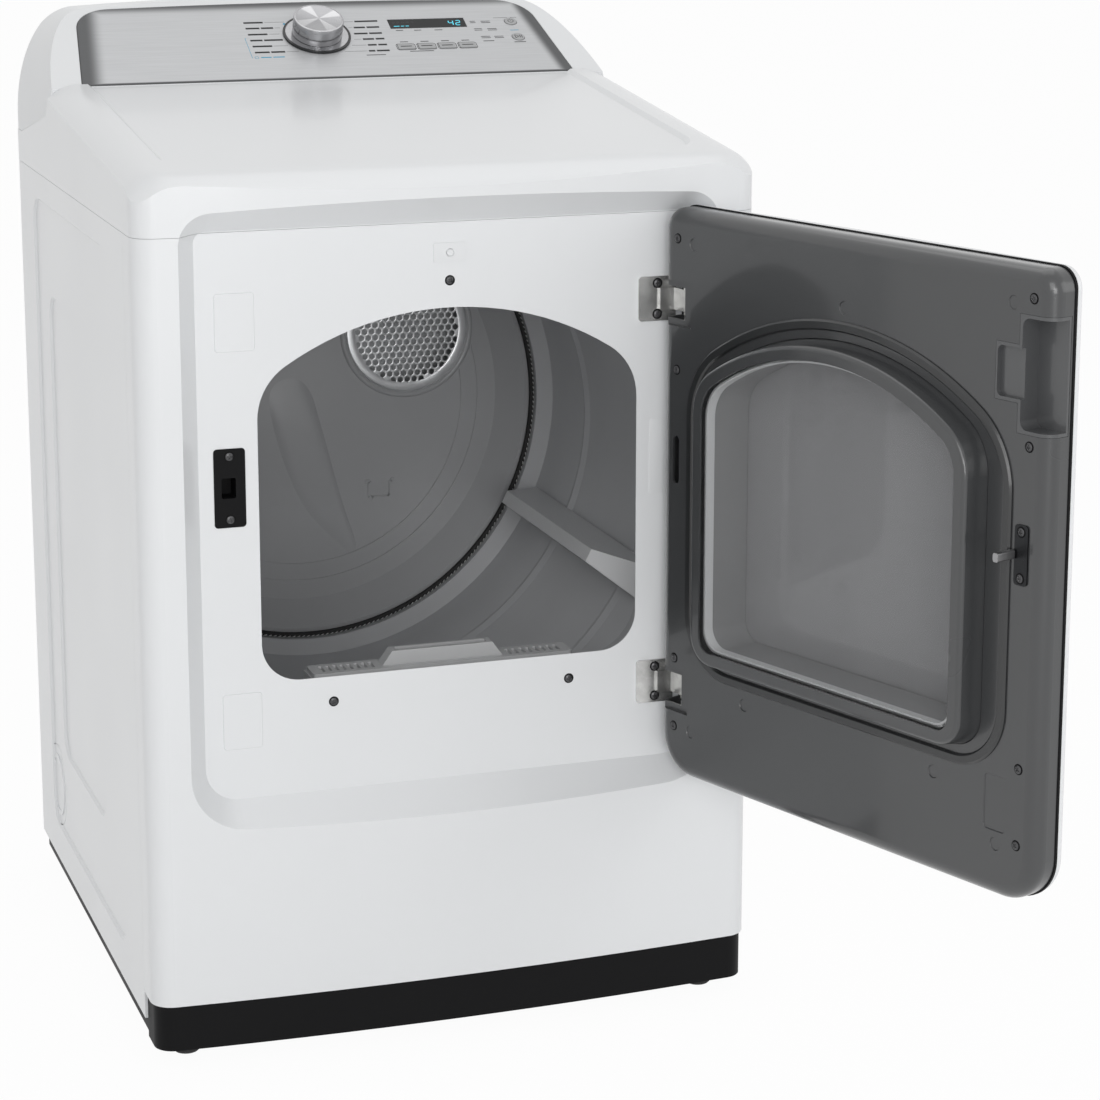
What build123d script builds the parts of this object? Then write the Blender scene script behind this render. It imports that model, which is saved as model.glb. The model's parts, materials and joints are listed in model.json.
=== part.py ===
from build123d import *
import os
from math import asin, atan2, cos, degrees, hypot, pi, radians, sin, sqrt, tan

os.makedirs("parts", exist_ok=True)

# A vented tumble dryer with its control console at the rear and its side-swing door standing open.
# Inside this file a place is given as (x, y, z) from the cabinet: x from its centre plane, positive to the
# user's right; y back from the line of its front corners; z up from the floor.

# ------------------------------------------------------------------ driving dimensions, mm
cabinet_x = -58.0  # the cabinet's centre plane in the part's own frame
cabinet_y = -107.0  # the line of its front corners in the part's own frame

cabinet_width = 686.0
cabinet_depth = 702.0
front_bow = 14.0  # how far the front face swells ahead of its corners
corner_radius = 25.0  # upright edges of the front
corner_return = 52.0  # depth of the front panel's sides
sheet = 1.2  # pressed steel
flange = 16.0  # return flanges of the panels
seam = 0.4  # open joint between neighbouring panels

foot_radius = 15.0
foot_pad = 9.0
foot_stud_radius = 5.0
foot_reach = 20.0  # how far a foot screws out
foot_margin = (43.0, 46.0, 52.0)  # from the cabinet's sides, front and back
foot_x = cabinet_width / 2 - foot_margin[0]
foot_front_y = foot_margin[1]
foot_rear_y = cabinet_depth - foot_margin[2]

pan_bottom = 18.5
pan_top = 39.5
pan_inset = 3.0  # the pan stands back from the side panels
plinth_top = 69.6
plinth_wall = 3.0
panel_top = 902.0  # joint between the panels and the top cover

# pressed fields of the side panels: y from, y to, z from, z to, depth and corner
side_outer_field = (148.0, cabinet_depth - 92.0, 84.0, 871.0)
side_inner_field = (262.0, cabinet_depth - 162.0, 188.0, 765.0)
side_step = 3.0
side_corner = 34.0
knockout_y = cabinet_depth - 116.0
knockout_z = 136.0
knockout_radius = 51.0
knockout_gap = 1.0
knockout_groove = 0.7

# rear panel
service_z = 500.0
service_size = (190.0, 540.0)  # opening behind the heater
service_margin = 14.0  # how far its cover laps over it
service_press = 10.0  # margin of the cover's pressed field
service_press_depth = 8.0
louvre_count = 7
louvre_size = (110.0, 6.0)
louvre_start = 60.0  # first one above the opening's foot
louvre_pitch = 18.0
cord_hole = (-250.0, 170.0)
cord_hole_radius = 11.1
valve_x = 258.0
valve_z = 150.0
valve_thread_radius = 13.2
valve_thread_length = 12.0
valve_neck = 2.0  # how far behind the panel the thread starts
valve_neck_radius = 11.7
valve_bore = 8.5
valve_flange = (62.0, 44.0, 2.5)
valve_body = (17.0, 34.0)  # radius and length
valve_coil = (28.0, 36.0, 30.0)
valve_outlet = (5.5, 16.0)

# sunken field of the front, which the door closes into
recess_half = cabinet_width / 2 - 67.0
recess_bottom = 288.0
recess_top = 903.0
recess_floor = 22.0
recess_flare = 39.5  # degrees that its walls open outwards
recess_heel = 36.0
recess_shoulder = 12.0

# door opening: flat sill, straight jambs, arched head
opening_half = recess_half - 64.0
opening_sill = 415.0
opening_apex = 810.0
opening_crown = 337.0
opening_shoulder = 67.0
opening_heel = 42.0

# top cover
cover_front = 963.5  # height of its top at the front corners
cover_slope = 5.9  # degrees that it rises towards the console
cover_roll = 48.0  # radius rolled over its edges
cover_overhang = 12.0  # how much of that roll the walls cut away
cover_wall = 2.0
field_half = cabinet_width / 2 - 53.0
field_front = 46.0
field_depth = 4.0
field_corner = 46.0

# console
console_foot_y = cabinet_depth - 221.0  # front edge of the fascia
console_foot_z = 1009.0
console_brow_y = cabinet_depth - 72.0  # rear edge of the fascia
console_brow_z = 1089.0
console_back_y = cabinet_depth - 2.0
console_top = 1096.0
console_crown_half = cabinet_width / 2 - 71.0  # where the rounded shoulders start
console_shoulder_z = 960.0
console_wall = 2.5
# y and z of the joint between console and cover, from the fascia back
seat_shoulder = (console_foot_y + 16.0, 976.0)
seat_heel = (cabinet_depth - 29.0, 940.0)
fascia_half = cabinet_width / 2 - 41.0
fascia_thick = 3.0
fascia_proud = 0.6
fascia_gap = 0.3
dial_along = 96.0  # up the fascia from its foot
dial_radius = 30.5
dial_height = 22.0
dial_ring_radius = 41.0
dial_ring_height = 2.4
shaft_radius = 3.0
key_along = 65.0
key_size = (21.0, 11.0)
key_travel = 0.8
key_height = 1.0
key_x = (104.5, 130.5, 156.5, 182.5)
power_x = fascia_half - 50.0
power_along = 115.0
start_along = 80.0
round_key_radius = 8.0
display_x = 144.5
display_along = 116.0
display_size = (98.0, 21.0)
key_stem_radius = 2.5
board_depth = 14.0  # from the fascia's back to the board
board_thick = 1.6
board_size = (330.0, 84.0)
board_middle = (105.0, 92.0)  # to the right of the dial, and up the fascia
board_margin = (3.0, 4.0)  # of the display's block round its window
board_posts = ((-50.0, 92.0), (power_x + 10.0, 98.0))
board_post_radius = 5.0
switch_cap = (6.0, 5.0)  # side and height of the switch under each key
encoder_side = 15.0
knob_wall = 4.0

# drum and its bulkheads
drum_z = 582.0
drum_clear = 24.0  # between the drum and the outside of the cabinet's sides
drum_radius = cabinet_width / 2 - drum_clear
drum_wall = 1.2
drum_front = 100.0
drum_rear = cabinet_depth - 50.0
land_radius = drum_radius - 17.0  # smaller ends that the rollers and the seals run on
land_length = 26.0
land_cone = 14.0  # axial length of the step up to the full radius
bead_height = 3.0
bead_half = 12.0
bead_places = (240.0, 480.0)
baffle_wall = 2.5
baffle_gap = 0.2
baffle_height = 66.0
baffle_base = 46.0
baffle_tip = 16.0
baffle_start = drum_front + 50.0
baffle_end = drum_rear - 46.0
baffle_rake = 70.0  # how much shorter the tip is at each end
baffle_angle = -26.0
seal_gap = 0.5
running_gap = 0.3
felt_thick = 4.0
felt_length = 12.0
rest_gap = 0.3  # between pieces that seat on each other

roller_radius = 30.0
roller_width = 20.0
roller_bore = 6.0
roller_angle = 38.0  # to each side of straight down
shaft_gap = 0.1

bulkhead_half = cabinet_width / 2 - 9.0
bulkhead_bottom = 270.0
bulkhead_top = 896.0
front_plate_y = 92.0
front_plate = 2.5
throat_wall = 2.5
throat_flare = 27.5
rear_plate_y = drum_rear + 6.0
ridge_y = drum_rear - 12.0  # front of the ring that carries the rear seal
dish_radius = land_radius - 44.0
dish_y = drum_rear + 16.0
dish_ribs = (dish_radius - 22.0, dish_radius - 44.0)
dish_rib = (3.0, 2.0)  # half width and height
grille_radius = 80.0
grille_angle = 31.75  # above level, as seen from the drum's axis
grille_reach = dish_radius - grille_radius - 14.5  # from the drum's axis to its middle
grille_x = grille_reach * cos(radians(grille_angle))
grille_z = drum_z + grille_reach * sin(radians(grille_angle))
grille_rim = 8.0
grille_hole = 5.0  # circumradius of its six-sided holes
grille_pitch = 12.4
grille_rows = 11

# air path
ledge_z = 405.0
ledge_half = 150.0
ledge_depth = (46.0, 90.0)
filter_half = 136.0
filter_depth = (56.0, 80.0)
filter_drop = 190.0
filter_bar = 5.0
filter_handle_half = 69.0
filter_handle_top = 57.5
filter_handle_rise = 16.0
duct_wall = 2.0
duct_x = -130.0  # blower and motor axis
duct_z = 146.0
blower_depth = 76.0
blower_inlet = 50.0
scroll_radii = (92.0, 98.5, 105.0, 104.0)  # right, up, left and down of its axis
outlet_half = 56.0
outlet_top = 154.0
blower_radius = 84.0
exhaust_radius = 50.8
exhaust_z = 98.0
exhaust_reach = 36.0  # length of the pipe behind the rear panel
exhaust_neck = 4.0  # how far behind the panel the pipe widens
exhaust_swage = 1.6  # how much narrower it is inside
exhaust_wall = 1.0
motor_front = 204.0
motor_length = 128.0
motor_radius = 60.0
motor_vents = 8
cradle_x = -50.0  # middle of the plate under the motor and the idler's post
cradle_width = 270.0
cradle_tail = 20.0  # how far it runs on behind the post
cradle_half = 51.0
cradle_inset = 8.0  # its uprights lie this far inside the motor's ends
post_x = 70.0
post_width = 28.0
post_cap = 15.0  # how far the post rises past the idler's pivot
motor_shaft_radius = 6.0
pulley_y = 356.0
pulley_radius = 13.0
belt_width = 8.0
belt_thick = 2.0
idler_radius = 26.0
idler_x = -62.0
idler_z = drum_z - drum_radius - 67.0
idler_arm_length = 92.0
idler_arm_angle = -10.0  # from the idler's axis to its pivot

# door, given as it stands closed
door_half = recess_half + 6.0
door_bottom = 277.0
door_top = 910.0
door_heel = 48.0
door_shoulder = 22.0
door_gap = 4.5  # between its inner face and the recess floor
door_side = 29.0  # depth of the inner panel
door_edge = 16.0  # rounding of the inner panel
door_groove = 3.0  # shadow gap between the two panels
door_rim = 8.0  # depth of the outer panel at its edge
door_bow = 8.0
door_wall = 2.5
door_open = 109.4  # degrees that it stands open
pin_x = recess_half - 13.0
pin_y = -6.5
pin_radius = 3.0
hinge_z = (807.0, 375.0)
hinge_plate_x = (pin_x - 50.0, pin_x - 7.0)
hinge_plate_half = 24.5
hinge_plate_thick = 2.5
arm_thick = 6.0
arm_half = 12.0
slot_half = 17.5
plug_inset = 7.0
plug_rise = 28.0
plug_taper = 9.0
glass_inset = 26.0
glass_thick = 4.0
seal_band = 11.0
seal_sides = 26.0  # how far the seal's outer edge lies outside the opening at its sides
seal_ends = 13.0  # and at its top and bottom
latch_x = 20.0 - pin_x
latch_z = 631.0
latch_size = (34.0, 85.0)
latch_proud = 0.7
latch_screw = 34.0  # above and below its middle
latch_slot_x = latch_x - 1.2
latch_slot = (15.4, 22.0)
latch_box = (19.0, 50.0)
latch_back = 48.0
hinge_side_screws = (878.0, 735.0, 412.0, 334.0)  # heights of the screws along the door's edges
latch_side_screws = (881.0, 738.0, 417.0, 339.0)
plate_screw = 17.0  # above and below a hinge plate's middle
screw_head = 4.2
screw_rise = 1.4
screw_shank = 1.8
screw_length = 7.0
striker_reach = 27.0
striker_width = 9.0
striker_thick = 6.0
striker_plate = (17.0, 60.0)
striker_plate_x = latch_x - 9.0
striker_plate_thick = 1.6
striker_screw = 23.0  # above and below its middle
striker_hook = 9.0
striker_lip = 2.4  # how far the hook stands out from the blade
pocket_x = 42.0
scoop_x = (door_half - 72.0, door_half - 38.0)
scoop_z = (778.0, 835.0)
scoop_depth = 8.0
pocket_z = (749.0, 865.0)
switch_z = 869.0
switch_size = (36.0, 21.0)
switch_body = (26.0, 13.0)
plunger_radius = 4.0
plunger_proud = 4.2

# ------------------------------------------------------------------ derived sizes
half_width = cabinet_width / 2
open_turn = radians(door_open - 90)
door_along = Vector(sin(open_turn), -cos(open_turn), 0)  # from hinge to latch
door_inward = Vector(-cos(open_turn), -sin(open_turn), 0)  # out of the door's inner face
inner_face = recess_floor - door_gap - pin_y  # from the hinge pin to the door's inner face
panel_back = inner_face - door_side
outer_rim = panel_back - door_groove
outer_face = outer_rim - door_rim
fascia_rise = atan2(console_brow_z - console_foot_z, console_brow_y - console_foot_y)
fascia_length = hypot(console_brow_z - console_foot_z, console_brow_y - console_foot_y)


# ------------------------------------------------------------------ planes that sketches stand on
def level(height):
    """Horizontal plane at a height: x right, y back."""
    return Plane(origin=(cabinet_x, cabinet_y, height), x_dir=(1, 0, 0), z_dir=(0, 0, 1))


def facing(depth):
    """Upright plane behind the front corners, looked at from the front: x right, y up."""
    return Plane(origin=(cabinet_x, cabinet_y + depth, 0), x_dir=(1, 0, 0), z_dir=(0, -1, 0))


def beside(across):
    """Upright plane beside the centre plane, looked at from the right: x back, y up."""
    return Plane(origin=(cabinet_x + across, cabinet_y, 0), x_dir=(0, 1, 0), z_dir=(1, 0, 0))


def on_fascia(rise):
    """Plane along the fascia, a height above its seat: x right, y up the slope."""
    origin = (
        cabinet_x,
        cabinet_y + console_foot_y - rise * sin(fascia_rise),
        console_foot_z + rise * cos(fascia_rise),
    )
    return Plane(origin=origin, x_dir=(1, 0, 0), z_dir=(0, -sin(fascia_rise), cos(fascia_rise)))


def door_face(offset):
    """Plane along the door, an offset inwards of its hinge pins: x towards the latch, y up."""
    pin = Vector(cabinet_x + pin_x, cabinet_y + pin_y, 0)
    return Plane(origin=pin + door_along * pin_x + door_inward * offset, x_dir=door_along, z_dir=door_inward)


def door_level(height):
    """Horizontal plane through the door: x from the hinge pin to the latch, y out of its outer face."""
    origin = (cabinet_x + pin_x, cabinet_y + pin_y, height)
    return Plane(origin=origin, x_dir=door_along, z_dir=(0, 0, 1))


centre_plane = beside(0)
fascia_normal = Axis((0, 0, 0), (0, -sin(fascia_rise), cos(fascia_rise)))
door_normal = Axis((0, 0, 0), tuple(door_inward))


# ------------------------------------------------------------------ outlines that several pieces share
def arch(grow, sides=None):
    """The door opening's outline, grown by a margin and by another one at its sides if given."""
    sides = grow if sides is None else sides
    half = opening_half + sides
    crown = opening_crown + sides
    apex = opening_apex + grow
    sill = opening_sill - grow
    spring = apex - crown + sqrt(crown**2 - half**2)
    with BuildSketch(mode=Mode.PRIVATE) as outline:
        with BuildLine():
            Polyline((-half, spring), (-half, sill), (half, sill), (half, spring))
            ThreePointArc((half, spring), (0, apex), (-half, spring))
        make_face()
        corners = outline.vertices().group_by(Axis.Y)
        fillet(corners[0], opening_heel + sides)
        fillet(outline.vertices().group_by(Axis.Y)[-1], opening_shoulder + sides)
    return outline.sketch


def front_plan(inset, back):
    """Plan of the cabinet's bowed front with its rounded corners, as far back as asked."""
    half = half_width - inset
    with BuildSketch(mode=Mode.PRIVATE) as plan:
        with BuildLine():
            Polyline((-half, inset), (-half, back), (half, back), (half, inset))
            ThreePointArc((half, inset), (0, inset - front_bow), (-half, inset))
        make_face()
        front = [v for v in plan.vertices() if v.Y < back - 1]
        fillet(front, corner_radius - inset)
    return plan.sketch


def door_outline(inset):
    """The door's outline as seen on its inner face."""
    middle = (door_top + door_bottom) / 2
    with BuildSketch(mode=Mode.PRIVATE) as outline:
        with Locations((0, middle)):
            Rectangle(2 * (door_half - inset), door_top - door_bottom - 2 * inset)
        fillet(outline.vertices().group_by(Axis.Y)[0], door_heel - inset)
        fillet(outline.vertices().group_by(Axis.Y)[-1], door_shoulder - inset)
    return outline.sketch


def sunken_field(grow):
    """The solid that is taken out of the front to sink the door's field, grown by a sheet's thickness."""
    flare = radians(recess_flare)
    spread = grow * (1 / cos(flare) - tan(flare))
    half = recess_half + spread
    with BuildPart() as field:
        with BuildSketch(facing(recess_floor + grow)) as floor:
            with Locations((0, (recess_top + recess_bottom) / 2)):
                Rectangle(2 * half, recess_top - recess_bottom + 2 * spread)
            fillet(floor.vertices().group_by(Axis.Y)[0], recess_heel)
            fillet(floor.vertices().group_by(Axis.Y)[-1], recess_shoulder)
        extrude(amount=recess_floor + grow + front_bow + 6, taper=-recess_flare)
    return field.part


def finish(builder, name):
    """Label a piece and write it."""
    builder.part.label = name
    export_step(builder.part, "parts/" + name + ".step")


# ------------------------------------------------------------------ base pan, plinth and feet
foot_places = [(x, y) for x in (-foot_x, foot_x) for y in (foot_front_y, foot_rear_y)]
boss_height = 12.0

with BuildPart() as base_pan:
    with BuildSketch(level(pan_bottom)):
        add(front_plan(pan_inset + plinth_wall, cabinet_depth - pan_inset))
    extrude(amount=pan_top - pan_bottom)
    with BuildSketch(level(pan_bottom + sheet)):
        add(front_plan(pan_inset + plinth_wall + sheet, cabinet_depth - pan_inset - sheet))
    extrude(amount=pan_top, mode=Mode.SUBTRACT)
    with BuildSketch(level(pan_bottom + sheet)):
        with Locations(*foot_places):
            RectangleRounded(2 * foot_radius, 2 * foot_radius, 4)
        for across in (-40, 210):
            with Locations((across, 340)):
                SlotOverall(420, 24, rotation=90)
    extrude(amount=3)
    with BuildSketch(level(pan_bottom)):
        with Locations(*foot_places):
            Circle(foot_stud_radius + running_gap)
    extrude(amount=boss_height, mode=Mode.SUBTRACT)

with BuildPart() as plinth:
    with BuildSketch(level(pan_bottom)):
        add(front_plan(pan_inset, corner_return))
        add(front_plan(pan_inset + plinth_wall, corner_return + 1), mode=Mode.SUBTRACT)
    extrude(amount=plinth_top - pan_bottom)
    top_rim = plinth.edges().filter_by(Plane.XY).group_by(Axis.Z)[-1].filter_by(GeomType.CIRCLE)
    chamfer(top_rim.sort_by(Edge.length)[-1], 1.5)
finish(plinth, "plinth")

foot_names = ("foot_front_left", "foot_rear_left", "foot_front_right", "foot_rear_right")
for foot_name, (x, y) in zip(foot_names, foot_places):
    with BuildPart() as foot:
        with BuildSketch(level(0)):
            with Locations((x, y)):
                Circle(foot_radius)
        extrude(amount=foot_pad)
        chamfer(foot.edges().filter_by(GeomType.CIRCLE), 2)
        with BuildSketch(level(foot_pad)):
            with Locations((x, y)):
                RegularPolygon(9, 6)
        extrude(amount=pan_bottom - foot_pad - running_gap)
        with BuildSketch(level(foot_pad)):
            with Locations((x, y)):
                Circle(foot_stud_radius)
        extrude(amount=pan_bottom - foot_pad + foot_reach + 6)
    finish(foot, foot_name)

# ------------------------------------------------------------------ front panel
front_bottom = plinth_top + seam
front_top = panel_top - seam
front_field = sunken_field(0)
front_field_back = sunken_field(sheet)
blank_places = [(-(hinge_plate_x[0] + hinge_plate_x[1]) / 2, z) for z in hinge_z]
blank_proud = 1.2
blank_size = (43.0, 62.0)
blank_corner = 4.0
screw_places = [(0, 839.0), (-134.0, 387.0), (134.0, 387.0)]
plate_x = (hinge_plate_x[0] + hinge_plate_x[1]) / 2
latch_screws_at = [(latch_x, latch_z + side * latch_screw) for side in (-1, 1)]
hinge_screws_at = [(plate_x, z + side * plate_screw) for z in hinge_z for side in (-1, 1)]

with BuildPart() as front_panel:
    with BuildSketch(level(front_bottom)):
        add(front_plan(0, corner_return))
    extrude(amount=front_top - front_bottom)
    add(front_field, mode=Mode.SUBTRACT)
    # pressed pads where the hinges would sit if the door were hung at the left
    with BuildSketch(facing(recess_floor)):
        with Locations(*blank_places):
            RectangleRounded(*blank_size, blank_corner)
    extrude(amount=blank_proud, taper=30)
    with BuildPart(mode=Mode.PRIVATE) as hollow:
        with BuildSketch(level(front_bottom + sheet)):
            add(front_plan(sheet, corner_return - sheet))
        extrude(amount=front_top - front_bottom - 2 * sheet)
        add(front_field_back, mode=Mode.SUBTRACT)
    add(hollow.part, mode=Mode.SUBTRACT)
    with BuildSketch(facing(corner_return + 1)):
        with Locations((0, (front_top + front_bottom) / 2)):
            RectangleRounded(cabinet_width - 2 * flange, front_top - front_bottom - 2 * flange, 6)
    extrude(amount=corner_return - recess_floor - sheet - 1, mode=Mode.SUBTRACT)
    with BuildSketch(facing(recess_floor + sheet + 1)):
        add(arch(0))
        with Locations((latch_slot_x, latch_z)):
            Rectangle(latch_box[0] + 2 * running_gap, latch_box[1] + 2 * running_gap)
        with Locations((0, switch_z)):
            Rectangle(switch_body[0] + 2 * running_gap, switch_body[1] + 2 * running_gap)
        with Locations(*screw_places, *latch_screws_at, *hinge_screws_at):
            Circle(screw_shank + running_gap)
    extrude(amount=recess_floor + front_bow + 10, mode=Mode.SUBTRACT)
finish(front_panel, "front_panel")

# ------------------------------------------------------------------ side panels
side_front = corner_return + seam
side_back = cabinet_depth - sheet - seam
side_bottom = pan_top


def side_field(field, depth):
    """Pressed field of a side panel: a shallow tapered pocket of its left face."""
    y_from, y_to, z_from, z_to = field
    with BuildPart(mode=Mode.PRIVATE) as pressed:
        with BuildSketch(beside(-half_width)):
            with Locations(((y_from + y_to) / 2, (z_from + z_to) / 2)):
                RectangleRounded(y_to - y_from, z_to - z_from, side_corner)
        extrude(amount=depth, taper=45)
    return pressed.part


with BuildPart() as side_panel_left:
    with BuildSketch(beside(-half_width)):
        with Locations(((side_front + side_back) / 2, (side_bottom + front_top) / 2)):
            Rectangle(side_back - side_front, front_top - side_bottom)
    extrude(amount=flange)
    with BuildSketch(beside(-half_width + sheet)):
        with Locations(((side_front + side_back) / 2, (side_bottom + front_top) / 2)):
            Rectangle(side_back - side_front - 2 * sheet, front_top - side_bottom - 2 * sheet)
    extrude(amount=flange, mode=Mode.SUBTRACT)
    for field, steps in ((side_outer_field, 1), (side_inner_field, 2)):
        y_from, y_to, z_from, z_to = field
        grown = (y_from - sheet, y_to + sheet, z_from - sheet, z_to + sheet)
        add(side_field(grown, steps * side_step + sheet))
    add(side_field(side_outer_field, side_step), mode=Mode.SUBTRACT)
    add(side_field(side_inner_field, 2 * side_step), mode=Mode.SUBTRACT)
    with BuildSketch(beside(-half_width + side_step + knockout_groove)):
        with Locations((knockout_y, knockout_z)):
            Circle(knockout_radius)
            Circle(knockout_radius - knockout_gap, mode=Mode.SUBTRACT)
    extrude(amount=-knockout_groove - 1, mode=Mode.SUBTRACT)
    with BuildSketch(beside(-half_width + side_step)):
        with Locations((knockout_y, knockout_z)):
            Circle(knockout_radius - 12)
            Circle(knockout_radius - 18, mode=Mode.SUBTRACT)
    extrude(amount=-1)
finish(side_panel_left, "side_panel_left")

with BuildPart() as side_panel_right:
    add(mirror(side_panel_left.part, about=centre_plane))
finish(side_panel_right, "side_panel_right")

# ------------------------------------------------------------------ rear panel and its service cover
rear_y = cabinet_depth - sheet  # front face of the rear panel
rear_half = half_width - 1

with BuildPart() as rear_panel:
    with BuildSketch(facing(rear_y)):
        with Locations((0, (pan_top + front_top) / 2)):
            Rectangle(2 * rear_half, front_top - pan_top)
        with Locations((grille_x, service_z)):
            RectangleRounded(*service_size, 12, mode=Mode.SUBTRACT)
        with Locations((valve_x, valve_z)):
            Circle(valve_thread_radius + running_gap, mode=Mode.SUBTRACT)
        with Locations((0, exhaust_z)):
            Circle(exhaust_radius - exhaust_swage + running_gap, mode=Mode.SUBTRACT)
        with Locations(cord_hole):
            Circle(cord_hole_radius, mode=Mode.SUBTRACT)
    extrude(amount=-sheet)
    with BuildSketch(facing(rear_y + sheet)):
        for across in (-250, -60):
            with Locations((across, 560)):
                SlotOverall(420, 30, rotation=90)
    extrude(amount=-2, taper=30)
finish(rear_panel, "rear_panel")


with BuildPart() as service_cover:
    wide, tall = service_size
    with BuildSketch(facing(cabinet_depth + seam)):
        with Locations((grille_x, service_z)):
            RectangleRounded(wide + 2 * service_margin, tall + 2 * service_margin, 16)
    extrude(amount=-sheet)
    for shrink, mode in ((service_press, Mode.ADD), (service_press + sheet, Mode.SUBTRACT)):
        with BuildSketch(facing(cabinet_depth + seam)):
            with Locations((grille_x, service_z)):
                RectangleRounded(wide - 2 * shrink, tall - 2 * shrink, 30 - shrink)
        extrude(amount=service_press - shrink - service_press_depth, taper=30, mode=mode)
    with BuildSketch(facing(cabinet_depth)):
        for row in range(louvre_count):
            with Locations((grille_x, service_z - tall / 2 + louvre_start + louvre_pitch * row)):
                Rectangle(*louvre_size)
    extrude(amount=-service_press_depth - 2, mode=Mode.SUBTRACT)
finish(service_cover, "service_cover")

with BuildPart() as water_valve:
    valve_seat = rear_y - rest_gap
    with BuildSketch(facing(valve_seat)):
        with Locations((valve_x, valve_z)):
            RectangleRounded(valve_flange[0], valve_flange[1], 6)
    extrude(amount=valve_flange[2])
    with BuildSketch(facing(valve_seat)):
        with Locations((valve_x, valve_z)):
            Circle(valve_body[0])
    extrude(amount=valve_body[1])
    with BuildSketch(facing(valve_seat - valve_flange[2] - rest_gap)):
        with Locations((valve_x, valve_z + valve_coil[1] / 2)):
            RectangleRounded(valve_coil[0], valve_coil[1], 4)
    extrude(amount=valve_coil[2])
    with BuildSketch(facing(valve_seat - valve_body[1])):
        with Locations((valve_x, valve_z)):
            Circle(valve_outlet[0])
    extrude(amount=valve_outlet[1])
    valve_end = cabinet_depth + valve_neck + valve_thread_length
    valve_spout = (valve_neck_radius, valve_end - valve_seat)
    valve_thread = (valve_thread_radius, valve_thread_length)
    for radius, length in (valve_spout, valve_thread):
        with BuildSketch(facing(valve_end)):
            with Locations((valve_x, valve_z)):
                Circle(radius)
        extrude(amount=length)
    with BuildSketch(facing(valve_end)):
        with Locations((valve_x, valve_z)):
            Circle(valve_bore)
    extrude(amount=valve_thread_length + valve_flange[2], mode=Mode.SUBTRACT)
finish(water_valve, "water_valve")

# ------------------------------------------------------------------ top cover
slope = radians(cover_slope)


def cover_top_plane(drop):
    """Sloping plane of the cover's top, dropped square to itself: x right, y up the slope."""
    origin = (cabinet_x, cabinet_y + drop * sin(slope), cover_front - drop * cos(slope))
    return Plane(origin=origin, x_dir=(1, 0, 0), z_dir=(0, -sin(slope), cos(slope)))


def cover_block(inset):
    """Rolled block that the bowed walls are cut from."""
    width = cabinet_width - 2 * inset + 2 * cover_overhang
    front = -front_bow + inset - cover_overhang
    back = cabinet_depth + 100
    with BuildPart(mode=Mode.PRIVATE) as block:
        with BuildSketch(cover_top_plane(inset)):
            with Locations((0, (front + back) / 2)):
                Rectangle(width, back - front)
        extrude(amount=-170)
        upright = block.edges().filter_by(lambda e: abs(e.tangent_at(0.5).Z) > 0.9)
        fillet(upright.group_by(Axis.Y)[0], corner_radius + cover_overhang + 30)
        top = block.faces().sort_by(Axis.Z)[-1]
        rim = [e for e in top.edges() if e.center().Y < cabinet_y + back - 20]
        fillet(rim, cover_roll - inset)
    return block.part


def console_zone(clearance):
    """What the console takes away from the cover: all above the joint that they share."""
    with BuildPart(mode=Mode.PRIVATE) as zone:
        with BuildSketch(beside(-half_width - 10)):
            with BuildLine():
                Polyline(
                    (console_foot_y, 1300),
                    (console_foot_y, console_foot_z - 12),
                    seat_shoulder,
                    seat_heel,
                    (cabinet_depth + 20, seat_heel[1]),
                    (cabinet_depth + 20, 1300),
                    close=True,
                )
            make_face()
            if clearance:
                offset(amount=-clearance)
        extrude(amount=cabinet_width + 20)
    return zone.part


with BuildPart(mode=Mode.PRIVATE) as field_press:
    with BuildSketch(cover_top_plane(field_depth)):
        with Locations((0, (field_front + cabinet_depth) / 2)):
            RectangleRounded(2 * field_half, cabinet_depth - field_front, field_corner)
    extrude(amount=field_depth + 1, taper=-55)

with BuildPart() as top_cover:
    with BuildSketch(level(panel_top)):
        add(front_plan(0, cabinet_depth))
    extrude(amount=180)
    add(cover_block(0), mode=Mode.INTERSECT)
    add(field_press.part, mode=Mode.SUBTRACT)
    add(front_field, mode=Mode.SUBTRACT)
    with BuildPart(mode=Mode.PRIVATE) as cover_hollow:
        with BuildSketch(level(panel_top - 1)):
            add(front_plan(cover_wall, cabinet_depth - cover_wall))
        extrude(amount=180)
        add(cover_block(cover_wall + field_depth), mode=Mode.INTERSECT)
        add(sunken_field(cover_wall), mode=Mode.SUBTRACT)
        with BuildSketch(beside(-half_width)):
            with BuildLine():
                Polyline(
                    (console_foot_y - 6, 1200),
                    (console_foot_y - 6, 900),
                    (cabinet_depth, 900),
                    (cabinet_depth, 1200),
                    close=True,
                )
            make_face()
        extrude(amount=cabinet_width, mode=Mode.SUBTRACT)
    add(cover_hollow.part, mode=Mode.SUBTRACT)
    with BuildPart(mode=Mode.PRIVATE) as rear_hollow:
        with BuildSketch(beside(-half_width + cover_wall)):
            with BuildLine():
                Polyline(
                    (console_foot_y - 7, 900),
                    (console_foot_y - 7, console_foot_z - 24),
                    (console_foot_y, console_foot_z - 24),
                    (seat_shoulder[0] - 2, seat_shoulder[1] - cover_wall),
                    (seat_heel[0] - 1, seat_heel[1] - cover_wall),
                    (cabinet_depth - cover_wall, seat_heel[1] - cover_wall),
                    (cabinet_depth - cover_wall, 900),
                    close=True,
                )
            make_face()
        extrude(amount=cabinet_width - 2 * cover_wall)
    add(rear_hollow.part, mode=Mode.SUBTRACT)
    add(console_zone(0), mode=Mode.SUBTRACT)
finish(top_cover, "top_cover")

# ------------------------------------------------------------------ console
console_back_z = console_top - 26


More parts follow.
